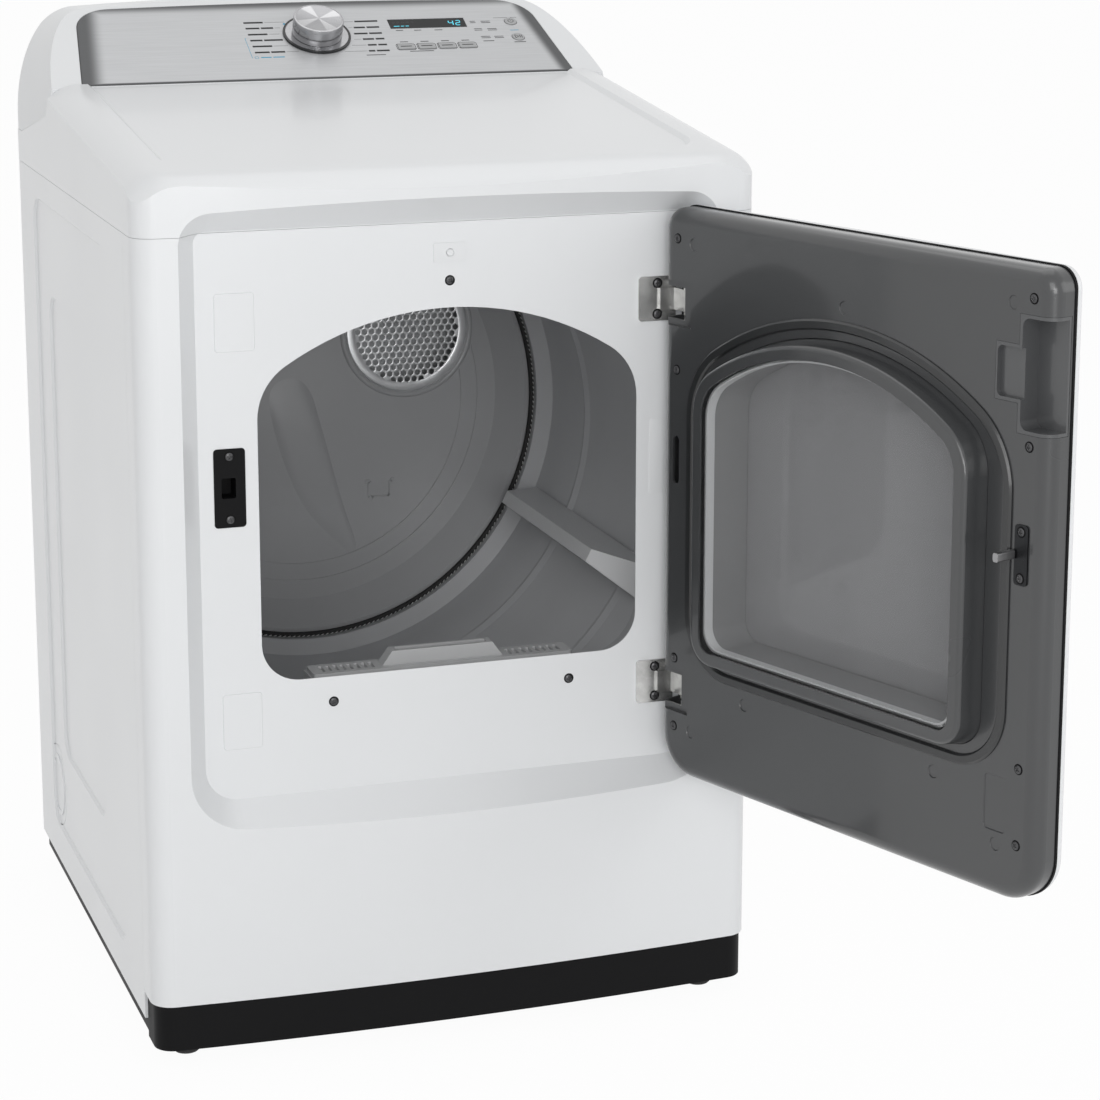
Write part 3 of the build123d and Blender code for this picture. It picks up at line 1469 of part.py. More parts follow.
def baffle_form(shrink):
    """One baffle above the drum's axis: a tapering fin with raked ends."""
    root = drum_radius - drum_wall - bead_height - baffle_gap
    tip = drum_radius - baffle_height + shrink
    with BuildPart(mode=Mode.PRIVATE) as fin:
        with BuildSketch(facing(baffle_end - shrink)):
            with BuildLine():
                Polyline(
                    (-baffle_base / 2 + shrink, drum_z + drum_radius),
                    (-baffle_tip / 2 + shrink, drum_z + tip),
                    (baffle_tip / 2 - shrink, drum_z + tip),
                    (baffle_base / 2 - shrink, drum_z + drum_radius),
                    close=True,
                )
            make_face()
        extrude(amount=baffle_end - baffle_start - 2 * shrink)
        with BuildSketch(beside(-baffle_base)):
            with BuildLine():
                Polyline(
                    (baffle_start + shrink, drum_z + drum_radius),
                    (baffle_start + baffle_rake + shrink, drum_z + tip),
                    (baffle_end - baffle_rake - shrink, drum_z + tip),
                    (baffle_end - shrink, drum_z + drum_radius),
                    close=True,
                )
            make_face()
        extrude(amount=2 * baffle_base, mode=Mode.INTERSECT)
        add(round_drum(root, 1, baffle_start, baffle_end), mode=Mode.INTERSECT)
    return fin.part


with BuildPart(mode=Mode.PRIVATE) as baffle:
    add(baffle_form(0))
    add(baffle_form(baffle_wall), mode=Mode.SUBTRACT)

with BuildPart() as drum_baffles:
    for turn in range(3):
        # a turn about +Y carries straight up towards +X
        add(baffle.part.rotate(drum_axis, 90 - baffle_angle + 120 * turn))
finish(drum_baffles, "drum_baffles")

for side_name, place in zip(("drum_rollers_left", "drum_rollers_right"), roller_places):
    with BuildPart() as rollers:
        for y in (front_roller_y, rear_roller_y):
            with BuildSketch(facing(y + roller_width)):
                with Locations(place):
                    Circle(roller_radius)
                    Circle(roller_bore + shaft_gap, mode=Mode.SUBTRACT)
            extrude(amount=roller_width)
            with BuildSketch(facing(y + 4)):
                with Locations(place):
                    Circle(roller_radius - 7)
                    Circle(roller_bore + 5, mode=Mode.SUBTRACT)
            extrude(amount=4, mode=Mode.SUBTRACT)
    finish(rollers, side_name)

# ------------------------------------------------------------------ lint filter, duct, blower and exhaust
blower_front = duct_back + rest_gap
blower_back = blower_front + blower_depth
filter_bottom = ledge_z - filter_drop
duct_low = filter_bottom - 20
duct_lip = 20.0
inlet_rim = 8.0


def duct_form(shrink):
    """The lint duct from the ledge down to the blower's inlet."""
    with BuildPart(mode=Mode.PRIVATE) as form:
        with BuildSketch(facing(duct_back - shrink)):
            with Locations((0, duct_low + duct_lip / 2)):
                Rectangle(2 * (ledge_half - shrink), duct_lip - 2 * shrink)
            with Locations((duct_x, duct_z)):
                Circle(blower_inlet + inlet_rim - shrink)
            make_hull()
            with Locations((0, (ledge_z + duct_low) / 2)):
                Rectangle(2 * (ledge_half - shrink), ledge_z - duct_low - 2 * shrink)
        extrude(amount=duct_back - duct_front - 2 * shrink)
    return form.part


filter_slot = (2 * (filter_half + 4), filter_depth[1] - filter_depth[0] + 4)
filter_middle = (filter_depth[0] + filter_depth[1]) / 2
with BuildPart() as lint_duct:
    add(duct_form(0))
    add(duct_form(duct_wall), mode=Mode.SUBTRACT)
    with BuildSketch(level(ledge_z - 5)):
        with Locations((0, filter_middle)):
            Rectangle(*filter_slot)
    extrude(amount=10, mode=Mode.SUBTRACT)
    with BuildSketch(facing(duct_back + 1)):
        with Locations((duct_x, duct_z)):
            Circle(blower_inlet)
    extrude(amount=duct_wall + 2, mode=Mode.SUBTRACT)
finish(lint_duct, "lint_duct")

filter_frame = 9.0
filter_screen = 1.5
strip_x = (75.0, 142.0)
with BuildPart() as lint_filter:
    with BuildSketch(level(ledge_z + rest_gap)):
        with Locations((0, filter_middle)):
            RectangleRounded(2 * (ledge_half - 2), filter_slot[1] + 8, 4)
        for side in (-1, 1):
            for row in range(8):
                with Locations((side * (strip_x[0] + 4 + 8 * row), filter_middle)):
                    Rectangle(4, 20, mode=Mode.SUBTRACT)
    extrude(amount=filter_bar)
    with BuildSketch(facing(filter_middle + 9)):
        with BuildLine():
            Polyline(
                (-filter_handle_half, ledge_z + filter_bar),
                (-filter_handle_top, ledge_z + filter_bar + filter_handle_rise),
                (filter_handle_top, ledge_z + filter_bar + filter_handle_rise),
                (filter_handle_half, ledge_z + filter_bar),
                close=True,
            )
        make_face()
    extrude(amount=18)
    with BuildSketch(level(ledge_z + filter_bar + filter_handle_rise + 1)):
        with Locations((0, filter_middle)):
            RectangleRounded(2 * (filter_handle_top - 5), 11, 3)
    extrude(amount=-filter_handle_rise + 2, mode=Mode.SUBTRACT)
    with BuildSketch(facing(filter_depth[1])):
        with Locations((0, (ledge_z + filter_bottom) / 2 + 1)):
            Rectangle(2 * filter_half, filter_drop + 2)
            Rectangle(2 * (filter_half - filter_frame), filter_drop - 2 * filter_frame, mode=Mode.SUBTRACT)
    extrude(amount=filter_depth[1] - filter_depth[0])
    with BuildSketch(facing(filter_middle + filter_screen / 2)):
        with Locations((0, (ledge_z + filter_bottom) / 2)):
            Rectangle(2 * filter_half - 4, filter_drop - 4)
    extrude(amount=filter_screen)
finish(lint_filter, "lint_filter")


def scroll_form(shrink):
    """The blower's casing: a growing scroll that runs out into a square outlet chamber."""
    right, up, left, down = [r - shrink for r in scroll_radii]
    low = duct_z - down
    with BuildPart(mode=Mode.PRIVATE) as form:
        with BuildSketch(facing(blower_back - shrink)):
            with BuildLine():
                EllipticalCenterArc((duct_x, duct_z), right, up, start_angle=0, arc_size=90)
                EllipticalCenterArc((duct_x, duct_z), left, up, start_angle=90, arc_size=90)
                EllipticalCenterArc((duct_x, duct_z), left, down, start_angle=180, arc_size=90)
                Polyline(
                    (duct_x, low),
                    (outlet_half - shrink, low),
                    (outlet_half - shrink, outlet_top - shrink),
                    (duct_x + right, outlet_top - shrink),
                    (duct_x + right, duct_z),
                )
            make_face()
        extrude(amount=blower_depth - 2 * shrink)
    return form.part


leg_places = ((-180.0, 130.0), (20.0, 130.0))
with BuildPart() as blower_housing:
    add(scroll_form(0))
    for x, y in leg_places:
        with BuildSketch(level(pan_bottom + sheet + rest_gap)):
            with Locations((x, y)):
                Rectangle(24, 50)
        extrude(amount=duct_z - 70 - pan_bottom)
    add(scroll_form(duct_wall), mode=Mode.SUBTRACT)
    with BuildSketch(facing(blower_front + duct_wall + 1)):
        with Locations((duct_x, duct_z)):
            Circle(blower_inlet)
    extrude(amount=duct_wall + 2, mode=Mode.SUBTRACT)
    with BuildSketch(facing(blower_back + 1)):
        with Locations((duct_x, duct_z)):
            Circle(motor_shaft_radius + 1)
        with Locations((0, exhaust_z)):
            Circle(exhaust_radius - exhaust_swage + running_gap)
    extrude(amount=duct_wall + 2, mode=Mode.SUBTRACT)
finish(blower_housing, "blower_housing")

blade_count = 20
blade_length = 16.0
wheel_front = blower_front + 8
wheel_back = blower_back - 8
with BuildPart() as blower_wheel:
    with BuildSketch(facing(wheel_back)):
        with Locations((duct_x, duct_z)):
            Circle(blower_radius)
            Circle(motor_shaft_radius + shaft_gap, mode=Mode.SUBTRACT)
    extrude(amount=3)
    with BuildSketch(facing(wheel_back)):
        with Locations((duct_x, duct_z)):
            Circle(16)
            Circle(motor_shaft_radius + shaft_gap, mode=Mode.SUBTRACT)
    extrude(amount=30)
    with BuildSketch(facing(wheel_back)):
        with Locations((duct_x, duct_z)):
            with PolarLocations(blower_radius - blade_length / 2 - 1, blade_count):
                Rectangle(blade_length, 2.4)
    extrude(amount=wheel_back - wheel_front)
    with BuildSketch(facing(wheel_front + 3)):
        with Locations((duct_x, duct_z)):
            Circle(blower_radius)
            Circle(blower_radius - blade_length, mode=Mode.SUBTRACT)
    extrude(amount=3)
finish(blower_wheel, "blower_wheel")

# a pipe whose free end is swaged out to the hose's size
exhaust_end = cabinet_depth + exhaust_reach
with BuildPart() as exhaust_duct:
    with BuildSketch(facing(exhaust_end)):
        with Locations((0, exhaust_z)):
            Circle(exhaust_radius)
    extrude(amount=exhaust_reach - exhaust_neck)
    with BuildSketch(facing(exhaust_end - 2 * exhaust_wall)):
        with Locations((0, exhaust_z)):
            Circle(exhaust_radius - exhaust_swage)
    extrude(amount=exhaust_end - 2 * exhaust_wall - blower_back + duct_wall)
    with BuildSketch(facing(exhaust_end + 1)):
        with Locations((0, exhaust_z)):
            Circle(exhaust_radius - exhaust_swage - exhaust_wall)
    extrude(amount=exhaust_end + 2 - blower_back + duct_wall, mode=Mode.SUBTRACT)
    with BuildSketch(facing(exhaust_end + 1)):
        with Locations((0, exhaust_z)):
            Circle(exhaust_radius - exhaust_wall)
    extrude(amount=1 + exhaust_reach - exhaust_neck - exhaust_wall, mode=Mode.SUBTRACT)
finish(exhaust_duct, "exhaust_duct")

# ------------------------------------------------------------------ motor, idler and belt
idler_angle = radians(idler_arm_angle)
pivot_x = idler_x + idler_arm_length * cos(idler_angle)
pivot_z = idler_z + idler_arm_length * sin(idler_angle)
idler_pin_radius = 4.0
arm_y = pulley_y + belt_width / 2 + 6  # front of the idler's arm
arm_plate = 4.0
bracket_y = arm_y + arm_plate + rest_gap
bracket_thick = 3.0
bracket_base = pan_bottom + sheet
motor_back = motor_front + motor_length

# the motor's cradle and the idler's post are welded to the pan
with BuildPart() as welded_pan:
    add(base_pan.part)
    with BuildSketch(level(bracket_base)):
        with Locations((cradle_x, (motor_front + bracket_y + cradle_tail) / 2)):
            Rectangle(cradle_width, bracket_y + cradle_tail - motor_front)
    extrude(amount=bracket_thick)
    for y in (motor_front + cradle_inset, motor_back - cradle_inset):
        with BuildSketch(facing(y + bracket_thick / 2)):
            with Locations((duct_x, (duct_z + bracket_base) / 2)):
                Rectangle(2 * cradle_half, duct_z - bracket_base)
            with Locations((duct_x, duct_z)):
                Circle(motor_radius + rest_gap, mode=Mode.SUBTRACT)
        extrude(amount=bracket_thick)
    with BuildSketch(facing(bracket_y + bracket_thick)):
        with Locations((post_x, (pivot_z + post_cap + bracket_base) / 2)):
            Rectangle(post_width, pivot_z + post_cap - bracket_base)
        with Locations(((pivot_x - post_cap + post_x) / 2, pivot_z)):
            Rectangle(post_x - pivot_x + post_cap, 2 * post_cap)
    extrude(amount=bracket_thick)
    with BuildSketch(facing(bracket_y)):
        with Locations((pivot_x, pivot_z)):
            Circle(idler_pin_radius)
    extrude(amount=arm_plate + 3)
finish(welded_pan, "base_pan")

with BuildPart() as motor:
    with BuildSketch(facing(motor_back)):
        with Locations((duct_x, duct_z)):
            Circle(motor_radius)
    extrude(amount=motor_length)
    chamfer(motor.edges().filter_by(GeomType.CIRCLE), 5)
    with BuildSketch(facing(motor_back + 1)):
        with Locations((duct_x, duct_z)):
            Circle(motor_shaft_radius + shaft_gap)
    extrude(amount=motor_length + 2, mode=Mode.SUBTRACT)
    with BuildSketch(facing(motor_back + 1)):
        with Locations((duct_x, duct_z)):
            with PolarLocations(motor_radius - 22, motor_vents):
                Rectangle(18, 6)
    extrude(amount=12, mode=Mode.SUBTRACT)
finish(motor, "motor")

with BuildPart() as motor_shaft:
    with BuildSketch(facing(pulley_y + belt_width / 2 + 6)):
        with Locations((duct_x, duct_z)):
            Circle(motor_shaft_radius)
    extrude(amount=pulley_y + belt_width / 2 + 6 - wheel_back + 26)
    with BuildSketch(facing(pulley_y + belt_width / 2 + 1)):
        with Locations((duct_x, duct_z)):
            Circle(pulley_radius)
    extrude(amount=belt_width + 2)
    for y in (pulley_y - belt_width / 2 - 1, pulley_y + belt_width / 2 + 4):
        with BuildSketch(facing(y)):
            with Locations((duct_x, duct_z)):
                Circle(pulley_radius + 4)
        extrude(amount=3)
finish(motor_shaft, "motor_shaft")

with BuildPart() as idler_arm:
    with BuildSketch(facing(arm_y + arm_plate)):
        for x, z in ((idler_x, idler_z), (pivot_x, pivot_z)):
            with Locations((x, z)):
                Circle(10)
        make_hull()
        with Locations((pivot_x, pivot_z)):
            Circle(idler_pin_radius + shaft_gap, mode=Mode.SUBTRACT)
    extrude(amount=arm_plate)
    with BuildSketch(facing(arm_y)):
        with Locations((idler_x, idler_z)):
            Circle(idler_pin_radius)
    extrude(amount=belt_width + 8)
finish(idler_arm, "idler_arm")

with BuildPart() as idler_pulley:
    with BuildSketch(facing(pulley_y + belt_width / 2 + 2)):
        with Locations((idler_x, idler_z)):
            Circle(idler_radius)
            Circle(idler_pin_radius + shaft_gap, mode=Mode.SUBTRACT)
    extrude(amount=belt_width + 4)
finish(idler_pulley, "idler_pulley")


def belt_loop(extra):
    """The belt's path round drum, motor pulley and idler, a distance out from its inner side."""
    rounds = (
        ((0, drum_z), drum_radius + rest_gap + extra),
        ((duct_x, duct_z), pulley_radius + rest_gap + extra),
        ((idler_x, idler_z), -(idler_radius + rest_gap + belt_thick - extra)),
    )
    spans = []
    for (start, r_start), (end, r_end) in zip(rounds, rounds[1:] + rounds[:1]):
        run = hypot(end[0] - start[0], end[1] - start[1])
        heading = atan2(end[1] - start[1], end[0] - start[0]) - asin((r_end - r_start) / run)
        away = (sin(heading), -cos(heading))
        spans.append([(c[0] + away[0] * r, c[1] + away[1] * r) for c, r in ((start, r_start), (end, r_end))])
    with BuildSketch(mode=Mode.PRIVATE) as loop:
        with BuildLine():
            for (centre, radius), before, after in zip(rounds, spans[-1:] + spans[:-1], spans):
                arrive, leave = before[1], after[0]
                from_angle = atan2(arrive[1] - centre[1], arrive[0] - centre[0])
                to_angle = atan2(leave[1] - centre[1], leave[0] - centre[0])
                if radius > 0 and to_angle < from_angle:
                    to_angle += 2 * pi
                if radius < 0 and to_angle > from_angle:
                    to_angle -= 2 * pi
                middle = (from_angle + to_angle) / 2
                half_way = (centre[0] + abs(radius) * cos(middle), centre[1] + abs(radius) * sin(middle))
                ThreePointArc(arrive, half_way, leave)
                Line(*after)
        make_face()
    return loop.sketch


with BuildPart() as drive_belt:
    with BuildSketch(facing(pulley_y + belt_width / 2)):
        add(belt_loop(belt_thick))
        add(belt_loop(0), mode=Mode.SUBTRACT)
    extrude(amount=belt_width)
finish(drive_belt, "drive_belt")

# ------------------------------------------------------------------ heater
heater_x = (grille_x - 84.0, grille_x + 84.0)
heater_z = (275.0, grille_z + 87.0)
heater_front = dish_y + sheet + rest_gap
heater_back = cabinet_depth - sheet - 3
heater_wall = 1.2
element_rods = 6
element_start = 60.0  # lowest rod above the duct's foot
element_pitch = 34.0
rod_radius = 3.0

with BuildPart() as heater_duct:
    with BuildSketch(facing(heater_back)):
        with Locations(((heater_x[0] + heater_x[1]) / 2, (heater_z[0] + heater_z[1]) / 2)):
            Rectangle(heater_x[1] - heater_x[0], heater_z[1] - heater_z[0])
    extrude(amount=heater_back - heater_front)
    with BuildSketch(facing(heater_back - heater_wall)):
        with Locations(((heater_x[0] + heater_x[1]) / 2, (heater_z[0] + heater_z[1]) / 2 - heater_wall)):
            Rectangle(heater_x[1] - heater_x[0] - 2 * heater_wall, heater_z[1] - heater_z[0])
    extrude(amount=heater_back - heater_front - 2 * heater_wall, mode=Mode.SUBTRACT)
    with BuildSketch(facing(heater_front + heater_wall + 1)):
        with Locations((grille_x, grille_z)):
            Circle(grille_hole_radius)
    extrude(amount=heater_wall + 2, mode=Mode.SUBTRACT)
finish(heater_duct, "heater_duct")

with BuildPart() as heating_element:
    across = heater_x[0] + heater_wall + rest_gap
    for row in range(element_rods):
        height = heater_z[0] + element_start + element_pitch * row
        with BuildSketch(beside(across)):
            with Locations(((heater_front + heater_back) / 2, height)):
                RegularPolygon(rod_radius, 8)
        extrude(amount=heater_x[1] - heater_x[0] - 2 * heater_wall - 2 * rest_gap)
    with BuildSketch(beside(across + 14)):
        middle = heater_z[0] + element_start + element_pitch * (element_rods - 1) / 2
        with Locations(((heater_front + heater_back) / 2, middle)):
            Rectangle(12, element_pitch * element_rods)
    extrude(amount=4)
finish(heating_element, "heating_element")
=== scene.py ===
import json
from math import cos, hypot, pi, radians, sin

import bmesh
import bpy
from mathutils import Matrix, Vector


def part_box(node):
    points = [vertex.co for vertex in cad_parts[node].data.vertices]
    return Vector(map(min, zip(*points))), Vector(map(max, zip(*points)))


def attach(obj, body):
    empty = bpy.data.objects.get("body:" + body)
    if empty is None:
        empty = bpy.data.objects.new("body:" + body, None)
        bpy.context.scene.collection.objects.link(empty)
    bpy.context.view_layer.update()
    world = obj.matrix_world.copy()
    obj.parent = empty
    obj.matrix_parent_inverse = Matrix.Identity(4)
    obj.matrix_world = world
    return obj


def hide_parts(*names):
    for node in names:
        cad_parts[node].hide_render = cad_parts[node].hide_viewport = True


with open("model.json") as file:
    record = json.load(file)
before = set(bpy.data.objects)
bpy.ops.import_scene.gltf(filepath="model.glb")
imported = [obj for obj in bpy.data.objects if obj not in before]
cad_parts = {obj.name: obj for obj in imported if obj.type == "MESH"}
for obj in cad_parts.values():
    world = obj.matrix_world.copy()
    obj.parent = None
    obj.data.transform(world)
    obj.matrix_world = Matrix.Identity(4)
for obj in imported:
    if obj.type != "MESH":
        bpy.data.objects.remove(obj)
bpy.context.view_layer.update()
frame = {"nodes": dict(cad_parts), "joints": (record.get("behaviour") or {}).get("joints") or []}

MM = 0.001
SCENE = bpy.context.scene

# ------------------------------------------------------------------ places, all read off the frame
JOINTS = {joint["name"]: joint for joint in frame["joints"]}
front_low, front_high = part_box("front_panel")
middle = (front_low.x + front_high.x) / 2
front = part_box("side_panel_left")[0].y - 52.4 * MM  # the line of the cabinet's front corners
hinge = Vector(JOINTS["door_hinge"]["pos_m"])
open_turn = radians(-JOINTS["door_hinge"]["range_deg"][0] - 90)
door_along = Vector((sin(open_turn), -cos(open_turn), 0))  # from hinge to latch
door_inward = Vector((-cos(open_turn), -sin(open_turn), 0))  # out of its inner face
drum_axis = Vector(JOINTS["drum_spin"]["pos_m"])
fascia_up = Vector(JOINTS["dial_turn"]["axis"])
fascia_slope = Vector((0, fascia_up.z, -fascia_up.y))  # up along the fascia
fascia_face = max(v.co.dot(fascia_up) for v in frame["nodes"]["console_fascia"].data.vertices)
dial_centre = Vector(JOINTS["dial_turn"]["pos_m"])
dial_centre += fascia_up * (fascia_face - dial_centre.dot(fascia_up))


def at(across, back, height):
    """A place given in mm from the cabinet's centre plane, its front corners and the floor."""
    return Vector((middle + across * MM, front + back * MM, height * MM))


def basis(origin, across, up, out):
    """A frame of reference whose x, y and z axes are the three directions given."""
    matrix = Matrix((across, up, out)).transposed().to_4x4()
    matrix.translation = origin
    return matrix


RIGHT = Vector((1, 0, 0))
BACK = Vector((0, 1, 0))
UP = Vector((0, 0, 1))
FASCIA = basis(dial_centre, RIGHT, fascia_slope, fascia_up)
DOOR = basis(hinge, door_along, UP, door_inward)


# ------------------------------------------------------------------ materials
def shader(name):
    """A new material's node tree, its main shader and a place in metres to hang textures on."""
    material = bpy.data.materials.new(name)
    material.use_nodes = True
    nodes = material.node_tree.nodes
    links = material.node_tree.links
    main = nodes["Principled BSDF"]
    place = nodes.new("ShaderNodeTexCoord").outputs["Object"]
    return material, nodes, links, main, place


def noise(nodes, links, place, scale, detail=3.0, stretch=(1, 1, 1)):
    """A noise texture's value, with its grain drawn out along an axis where asked."""
    mapping = nodes.new("ShaderNodeMapping")
    mapping.inputs["Scale"].default_value = stretch
    links.new(place, mapping.inputs["Vector"])
    texture = nodes.new("ShaderNodeTexNoise")
    texture.inputs["Scale"].default_value = scale
    texture.inputs["Detail"].default_value = detail
    links.new(mapping.outputs["Vector"], texture.inputs["Vector"])
    return texture.outputs["Fac"]


def spread(nodes, links, value, low, high):
    """A value brought into a range."""
    node = nodes.new("ShaderNodeMapRange")
    node.inputs["From Min"].default_value = 0.3
    node.inputs["From Max"].default_value = 0.7
    node.inputs["To Min"].default_value = low
    node.inputs["To Max"].default_value = high
    links.new(value, node.inputs["Value"])
    return node.outputs["Result"]


def finish_of(
    name, colour, roughness, metallic=0.0, coat=0.0, mottle=0.03, mottle_scale=6.0,
    grain_scale=900.0, grain=0.05, grain_depth=0.0002, stretch=(1, 1, 1), sheen=0.0,
):
    """A surface whose colour drifts slowly, whose gloss varies and whose skin has a fine relief."""
    material, nodes, links, main, place = shader(name)
    slow = noise(nodes, links, place, mottle_scale, stretch=stretch)
    fine = noise(nodes, links, place, grain_scale, detail=2.0, stretch=stretch)
    mix = nodes.new("ShaderNodeMix")
    mix.data_type = "RGBA"
    mix.inputs["A"].default_value = (*[c * (1 - mottle) for c in colour], 1)
    mix.inputs["B"].default_value = (*[min(1, c * (1 + mottle)) for c in colour], 1)
    links.new(spread(nodes, links, slow, 0, 1), mix.inputs["Factor"])
    links.new(mix.outputs["Result"], main.inputs["Base Color"])
    links.new(spread(nodes, links, slow, roughness * 0.9, roughness * 1.1), main.inputs["Roughness"])
    main.inputs["Metallic"].default_value = metallic
    main.inputs["Coat Weight"].default_value = coat
    main.inputs["Coat Roughness"].default_value = 0.08
    main.inputs["Sheen Weight"].default_value = sheen
    bump = nodes.new("ShaderNodeBump")
    bump.inputs["Strength"].default_value = grain
    bump.inputs["Distance"].default_value = grain_depth
    links.new(fine, bump.inputs["Height"])
    links.new(bump.outputs["Normal"], main.inputs["Normal"])
    return material


def glass_of(name, colour, cover, roughness=0.03):
    """Tinted see-through glass, which holds back a share of the light."""
    material, nodes, links, main, place = shader(name)
    slow = noise(nodes, links, place, 5.0)
    links.new(spread(nodes, links, slow, roughness * 0.7, roughness * 1.3), main.inputs["Roughness"])
    links.new(spread(nodes, links, slow, cover * 0.985, cover * 1.015), main.inputs["Alpha"])
    main.inputs["Base Color"].default_value = (*colour, 1)
    return material


WHITE = finish_of("white_enamel", (0.778, 0.79, 0.802), 0.32, coat=0.25, mottle=0.006, grain_scale=650, grain=0.03)
WHITE_MOULDING = finish_of("white_moulding", (0.765, 0.777, 0.788), 0.38, coat=0.15, mottle=0.006)
BLACK = finish_of("black_moulding", (0.004, 0.004, 0.0045), 0.5, mottle=0.1, grain_scale=1400, grain=0.15)
SILVER = finish_of(
    "brushed_fascia", (0.48, 0.487, 0.497), 0.38, metallic=0.35, mottle=0.06, mottle_scale=700,
    grain_scale=700, grain=0.12, stretch=(0.02, 1, 1),
)
KEY_SILVER = finish_of(
    "key_silver", (0.34, 0.345, 0.35), 0.38, metallic=0.35, mottle=0.03, grain_scale=1800, grain=0.06
)
SATIN = finish_of(
    "satin_metal", (0.4, 0.4, 0.41), 0.2, metallic=1.0, mottle=0.04, mottle_scale=60, grain_scale=1800, grain=0.08
)
DARK_RING = finish_of("dark_ring", (0.016, 0.017, 0.018), 0.25, coat=0.2, mottle=0.05)
DISPLAY = finish_of("display_window", (0.004, 0.005, 0.006), 0.1, coat=0.05, mottle=0.1, grain=0.01)
BOARD = finish_of("circuit_board", (0.02, 0.09, 0.04), 0.5, mottle=0.15, mottle_scale=60)
DOOR_GREY = finish_of(
    "door_moulding", (0.044, 0.0455, 0.0475), 0.3, coat=0.55, mottle=0.04, grain_scale=1600, grain=0.05
)
POCKET = finish_of("pocket_moulding", (0.07, 0.072, 0.075), 0.34, coat=0.5, mottle=0.05, grain_scale=1600, grain=0.1)
GASKET = finish_of("gasket", (0.02, 0.021, 0.022), 0.3, coat=0.3, mottle=0.08)
INNER_GLASS = glass_of("inner_glass", (0.1, 0.102, 0.104), 0.12)
OUTER_GLASS = glass_of("outer_glass", (0.35, 0.352, 0.361), 0.93)
LINER = finish_of("window_liner", (0.32, 0.323, 0.328), 0.5, mottle=0.05)
PLATED = finish_of(
    "plated_steel", (0.62, 0.62, 0.61), 0.22, metallic=0.9, mottle=0.18, mottle_scale=45, grain_scale=1200, grain=0.1
)
STRIKER = finish_of(
    "striker_steel", (0.34, 0.34, 0.345), 0.3, metallic=0.9, mottle=0.1, mottle_scale=60, grain_scale=1200, grain=0.08
)
SCREW_STEEL = finish_of(
    "screw_steel", (0.09, 0.09, 0.093), 0.34, metallic=0.9, mottle=0.15, mottle_scale=300, grain_scale=2500, grain=0.1
)
ALUMINIUM = finish_of(
    "pressed_aluminium", (0.78, 0.79, 0.8), 0.3, metallic=0.85, mottle=0.05, mottle_scale=40, grain_scale=1500,
    grain=0.08,
)
GALVANISED = finish_of(
    "galvanised_sheet", (0.5, 0.51, 0.52), 0.42, metallic=0.9, mottle=0.07, mottle_scale=90, grain=0.05
)
DRUM_GREY = finish_of("drum_enamel", (0.43, 0.435, 0.445), 0.34, coat=0.2, mottle=0.03, grain_scale=900, grain=0.04)
DRUM_LINER = finish_of("drum_liner", (0.56, 0.567, 0.58), 0.32, coat=0.25, mottle=0.04, grain_scale=900, grain=0.05)
BAFFLE = finish_of("baffle_moulding", (0.7, 0.707, 0.715), 0.42, mottle=0.03, grain_scale=1500, grain=0.12)
GREY_MOULDING = finish_of("grey_moulding", (0.5, 0.505, 0.51), 0.46, mottle=0.03, grain_scale=1500, grain=0.12)
FELT = finish_of(
    "wool_felt", (0.2, 0.19, 0.18), 0.95, mottle=0.2, mottle_scale=220, grain_scale=1500, grain=0.6,
    grain_depth=0.0006, sheen=0.3,
)
SEAL_BLACK = finish_of("seal_cord", (0.014, 0.014, 0.014), 0.7, mottle=0.2, mottle_scale=300, grain=0.4)
STITCH = finish_of("stitching", (0.8, 0.8, 0.79), 0.85, mottle=0.15, mottle_scale=500, grain=0.4, sheen=0.3)
RUBBER = finish_of("hard_rubber", (0.018, 0.018, 0.018), 0.7, mottle=0.15, grain_scale=1800, grain=0.2)
MOTOR = finish_of("motor_paint", (0.03, 0.03, 0.033), 0.5, mottle=0.1, grain_scale=1000, grain=0.2)
TURNED = finish_of(
    "turned_steel", (0.5, 0.5, 0.5), 0.3, metallic=1.0, mottle=0.06, grain_scale=900, grain=0.1, stretch=(1, 0.05, 1)
)
INK = finish_of("printed_ink", (0.018, 0.018, 0.019), 0.6, mottle=0.1, mottle_scale=400)
PALE_INK = finish_of("pale_ink", (0.07, 0.071, 0.073), 0.6, mottle=0.1, mottle_scale=400)
BLUE_INK = finish_of("blue_ink", (0.03, 0.3, 0.47), 0.5, mottle=0.1, mottle_scale=400)
LIT = finish_of("lit_segment", (0.05, 0.4, 0.5), 0.4, mottle=0.1, mottle_scale=400)
BLACK.node_tree.nodes["Principled BSDF"].inputs["Specular IOR Level"].default_value = 0.12
for ink in (INK, PALE_INK, DARK_RING, DISPLAY):
    ink.node_tree.nodes["Principled BSDF"].inputs["Specular IOR Level"].default_value = 0.25
LIT.node_tree.nodes["Principled BSDF"].inputs["Emission Color"].default_value = (0.12, 0.75, 0.95, 1)
LIT.node_tree.nodes["Principled BSDF"].inputs["Emission Strength"].default_value = 0.7


